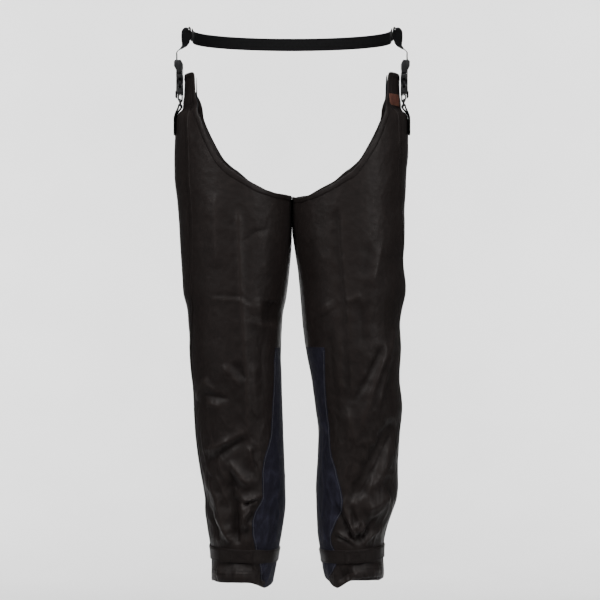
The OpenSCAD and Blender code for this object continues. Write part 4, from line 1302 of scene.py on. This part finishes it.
    # the strap down from the waist: laps the waist strap, turns over and twists outwards
    pts = [(195.2, -11, 0), (195.2, -2, 0), (195.25, 6, 0), (196.2, 10.6, 4), (199.0, 13.2, 18), (202.4, 12.0, 38),
           (204.4, 7.0, 50), (205.0, 0, 50), (205.2, -8, 47), (205.8, -15, 40), (208.6, -21, 31), (214.2, -26.2, 21),
           (219.4, -29.6, 13), (222.2, -32.6, 6), (222.8, -35.4, 0), (222.8, -45, 0), (222.8, -62, 0), (222.8, -90, 0), (222.8, -122, 0)]
    path = xz([(p[0], p[1]) for p in pts])
    wd = [(X(math.sin(math.radians(p[2]))), math.cos(math.radians(p[2])), 0) for p in pts]
    sp = ribbon(f"{side}_strap_webbing", path, wd, M_WEB, width=25, thick=1.55, step=1.0)
    on(sp, f"{side}_strap")
    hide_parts(f"{side}_side_strap")
    # folded and stitched tail end
    tl = ribbon(f"{side}_strap_tail_fold", xz([(224.45, -110), (224.45, -121.5)]), [Yv] * 2, M_WEB, width=24.6, thick=1.4, step=1.0)
    on(tl, f"{side}_strap")
    rr = []
    for zz_ in (-112.2, -119.6):
        p = np.stack([np.full(20, X(225.2)), np.linspace(HY - 11, HY + 11, 20), np.full(20, zz_)], 1)
        rr.append((p, np.tile([g, 0, 0], (20, 1))))
    st = stitches(f"{side}_tail_stitches", rr, M_THREAD, length=2.4, gap=0.9, wide=0.45)
    on(st, f"{side}_strap")

# ---------------------------------------------------------------- waist strap
n = 90
path = [(192.8, HY - 12.4, 0), (192.8, HY, 0), (192.8, -12, 0)]
path += [(192.8 * math.cos(t), 126.8 * math.sin(t), 0) for t in np.linspace(0, math.pi, n)]
path += [(-192.8, -12, 0), (-192.8, HY, 0), (-192.8, HY - 12.4, 0)]
wb = ribbon("waist_belt_webbing", path, [(0, 0, 1)] * len(path), M_WEB, width=25, thick=1.6, step=1.5, end_round=12.5)
on(wb, "waist")
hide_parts("waist_webbing")

# ---------------------------------------------------------------- label
leg = LEGS["left"]
nu, nv = 40, 22
U, V = np.linspace(-1, 1, nu), np.linspace(-1, 1, nv)
uu, vv = np.meshgrid(U, V)
# the corners drawn in a little
k = 0.16
cu = uu
cv = vv
LA = [float(leg.lift(np.array([q]), np.array([102.5]))[0][0]) for q in (390.7, 400.0)]
LM, LH = (LA[0] + LA[1]) / 2, (LA[0] - LA[1]) / 2
ca = LM + LH * cu * (1 - 0.03 * np.abs(vv) ** 6)
cz = -128.0 + 10.3 * cv * (1 - 0.04 * np.abs(uu) ** 8)
edge = np.clip((1 - np.maximum(np.abs(uu), np.abs(vv) * 0.98)) / 0.10, 0, 1)
emb = np.exp(-((np.maximum(np.abs(uu) * 1.0, np.abs(vv) * 0.97 - 0.03 * 0) - 0.80) / 0.035) ** 2)
outo = 0.35 + 1.25 * np.sqrt(edge * (2 - edge)) - 0.28 * emb
lb = thick_sheet("label_leather_patch", leg, ca, cz, outo, 0.05, M_LABEL, wear_and_shade=False)
on(lb, "left_thigh")
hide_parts("label_patch")
box = [(-0.9, -0.86), (0.9, -0.86), (0.9, 0.86), (-0.9, 0.86), (-0.9, -0.86)]
p, _t = resample(np.array(box, float) * [24, 10.3], 0.8)
p = p / [24, 10.3]
st = stitches("label_stitches", [leg_run(leg, LM + LH * p[:, 0], -128.0 + 10.3 * p[:, 1], 1.5)], M_TAN, length=1.9, gap=0.8, wide=0.36, tall=0.3)
on(st, "left_thigh")


# ---------------------------------------------------------------- moulded hardware
def moulded(node_name, name, body, mat, width=0.55, seg=3):
    """A copy of the CAD solid with its edges eased as a mould leaves them."""
    src = NODES[node_name]
    me = src.data.copy()
    me.name = name
    ob = bpy.data.objects.new(name, me)
    bpy.context.scene.collection.objects.link(ob)
    bm = bmesh.new()
    bm.from_mesh(me)
    bmesh.ops.remove_doubles(bm, verts=bm.verts, dist=2e-6)
    bmesh.ops.dissolve_limit(bm, angle_limit=math.radians(1.0), verts=bm.verts, edges=bm.edges)
    bm.to_mesh(me)
    bm.free()
    mod = ob.modifiers.new("ease", "BEVEL")
    mod.width = width * MM
    mod.segments = seg
    mod.limit_method = "ANGLE"
    mod.angle_limit = math.radians(40)
    mod.use_clamp_overlap = True
    mod.harden_normals = False
    bpy.context.view_layer.update()
    dg = bpy.context.evaluated_depsgraph_get()
    fin = bpy.data.meshes.new_from_object(ob.evaluated_get(dg))
    ob.modifiers.clear()
    ob.data = fin
    fin.name = name
    fin.materials.clear()
    fin.materials.append(mat)
    fin.polygons.foreach_set("use_smooth", [True] * len(fin.polygons))
    fin.set_sharp_from_angle(angle=math.radians(38))
    on(ob, body)
    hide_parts(node_name)
    return ob


for side in ("left", "right"):
    moulded(f"{side}_buckle_plug", f"{side}_plug_moulding", f"{side}_plug", M_PLASTIC)
    moulded(f"{side}_buckle_socket", f"{side}_socket_moulding", f"{side}_thigh", M_PLASTIC, 0.9, 4)
    moulded(f"{side}_plug_prong_front", f"{side}_prong_front_moulding", f"{side}_prong_front", M_PLASTIC, 0.5)
    moulded(f"{side}_plug_prong_rear", f"{side}_prong_rear_moulding", f"{side}_prong_rear", M_PLASTIC, 0.5)
    ring = NODES[f"{side}_hip_ring"]
    ring.data.materials.clear()
    ring.data.materials.append(M_RING)

# ---------------------------------------------------------------- stage
def stage_mat():
    m, nt, b = new_mat("studio_paper")
    oc = obj_coords(nt)
    n = noise(nt, oc, 3.0, 2, 0.5)
    nt.links.new(ramp(nt, n, [(0.3, (0.86, 0.86, 0.86)), (0.7, (0.9, 0.9, 0.9))]), b.inputs["Base Color"])
    b.inputs["Roughness"].default_value = 0.9
    b.inputs["Specular IOR Level"].default_value = 0.1
    return m


prof = [(-0.25, 0.0)] + [(1.6 + 1.4 * math.sin(math.radians(t)), 1.4 - 1.4 * math.cos(math.radians(t))) for t in range(0, 91, 6)] + [(3.0, 2.6)]
V, F = [], []
FLOOR = -1.30
for i, (y, z) in enumerate(prof):
    V += [(-1.16, y, FLOOR + z), (1.16, y, FLOOR + z)]
    if i:
        F.append((2 * i - 2, 2 * i - 1, 2 * i + 1, 2 * i))
me = bpy.data.meshes.new("backdrop")
me.from_pydata(V, [], F)
floor = bpy.data.objects.new("backdrop", me)
bpy.context.scene.collection.objects.link(floor)
me.polygons.foreach_set("use_smooth", [True] * len(me.polygons))
me.materials.append(stage_mat())

world = bpy.data.worlds.new("studio") if not bpy.data.worlds else bpy.data.worlds[0]
bpy.context.scene.world = world
world.use_nodes = True
bg = world.node_tree.nodes.get("Background")
bg.inputs[0].default_value = (1, 1, 1, 1)
bg.inputs[1].default_value = 0.09


def area(name, loc, target, size, power, size_y=None):
    d = bpy.data.lights.new(name, "AREA")
    d.energy = power
    d.shape = "RECTANGLE"
    d.size = size
    d.size_y = size_y or size
    o = bpy.data.objects.new(name, d)
    bpy.context.scene.collection.objects.link(o)
    o.location = loc
    v = Vector(target) - Vector(loc)
    o.rotation_euler = v.to_track_quat("-Z", "Y").to_euler()
    return o


area("soft_left", (-1.8, -2.5, 1.1), (0, 0, -0.45), 1.0, 70, 1.5)
area("soft_right", (2.1, -2.5, 0.5), (0, 0, -0.45), 1.0, 50, 1.7)
area("soft_top", (0.2, -1.7, 2.3), (0, 0, -0.4), 1.6, 58, 0.9)
area("paper_left", (-2.3, 1.2, 0.0), (-1.7, 3.0, -0.3), 1.2, 84, 1.8)
area("paper_right", (2.3, 1.2, 0.0), (1.7, 3.0, -0.3), 1.2, 84, 1.8)
area("paper_top", (0, 1.6, 2.0), (0, 2.3, -0.6), 2.6, 78, 0.8)

cam_data = bpy.data.cameras.new("camera")
cam = bpy.data.objects.new("camera", cam_data)
bpy.context.scene.collection.objects.link(cam)
cam.location = (CAM_X, -CAM_D, CAM_Z)
cam.rotation_euler = (math.radians(90), 0, 0)
cam_data.sensor_width = 36.0
cam_data.lens = 36.0 * CAM_D / (600 * PX * MM)
cam_data.clip_start = 0.05
cam_data.clip_end = 60
cam_data.dof.use_dof = False
bpy.context.scene.camera = cam

bpy.context.view_layer.update()
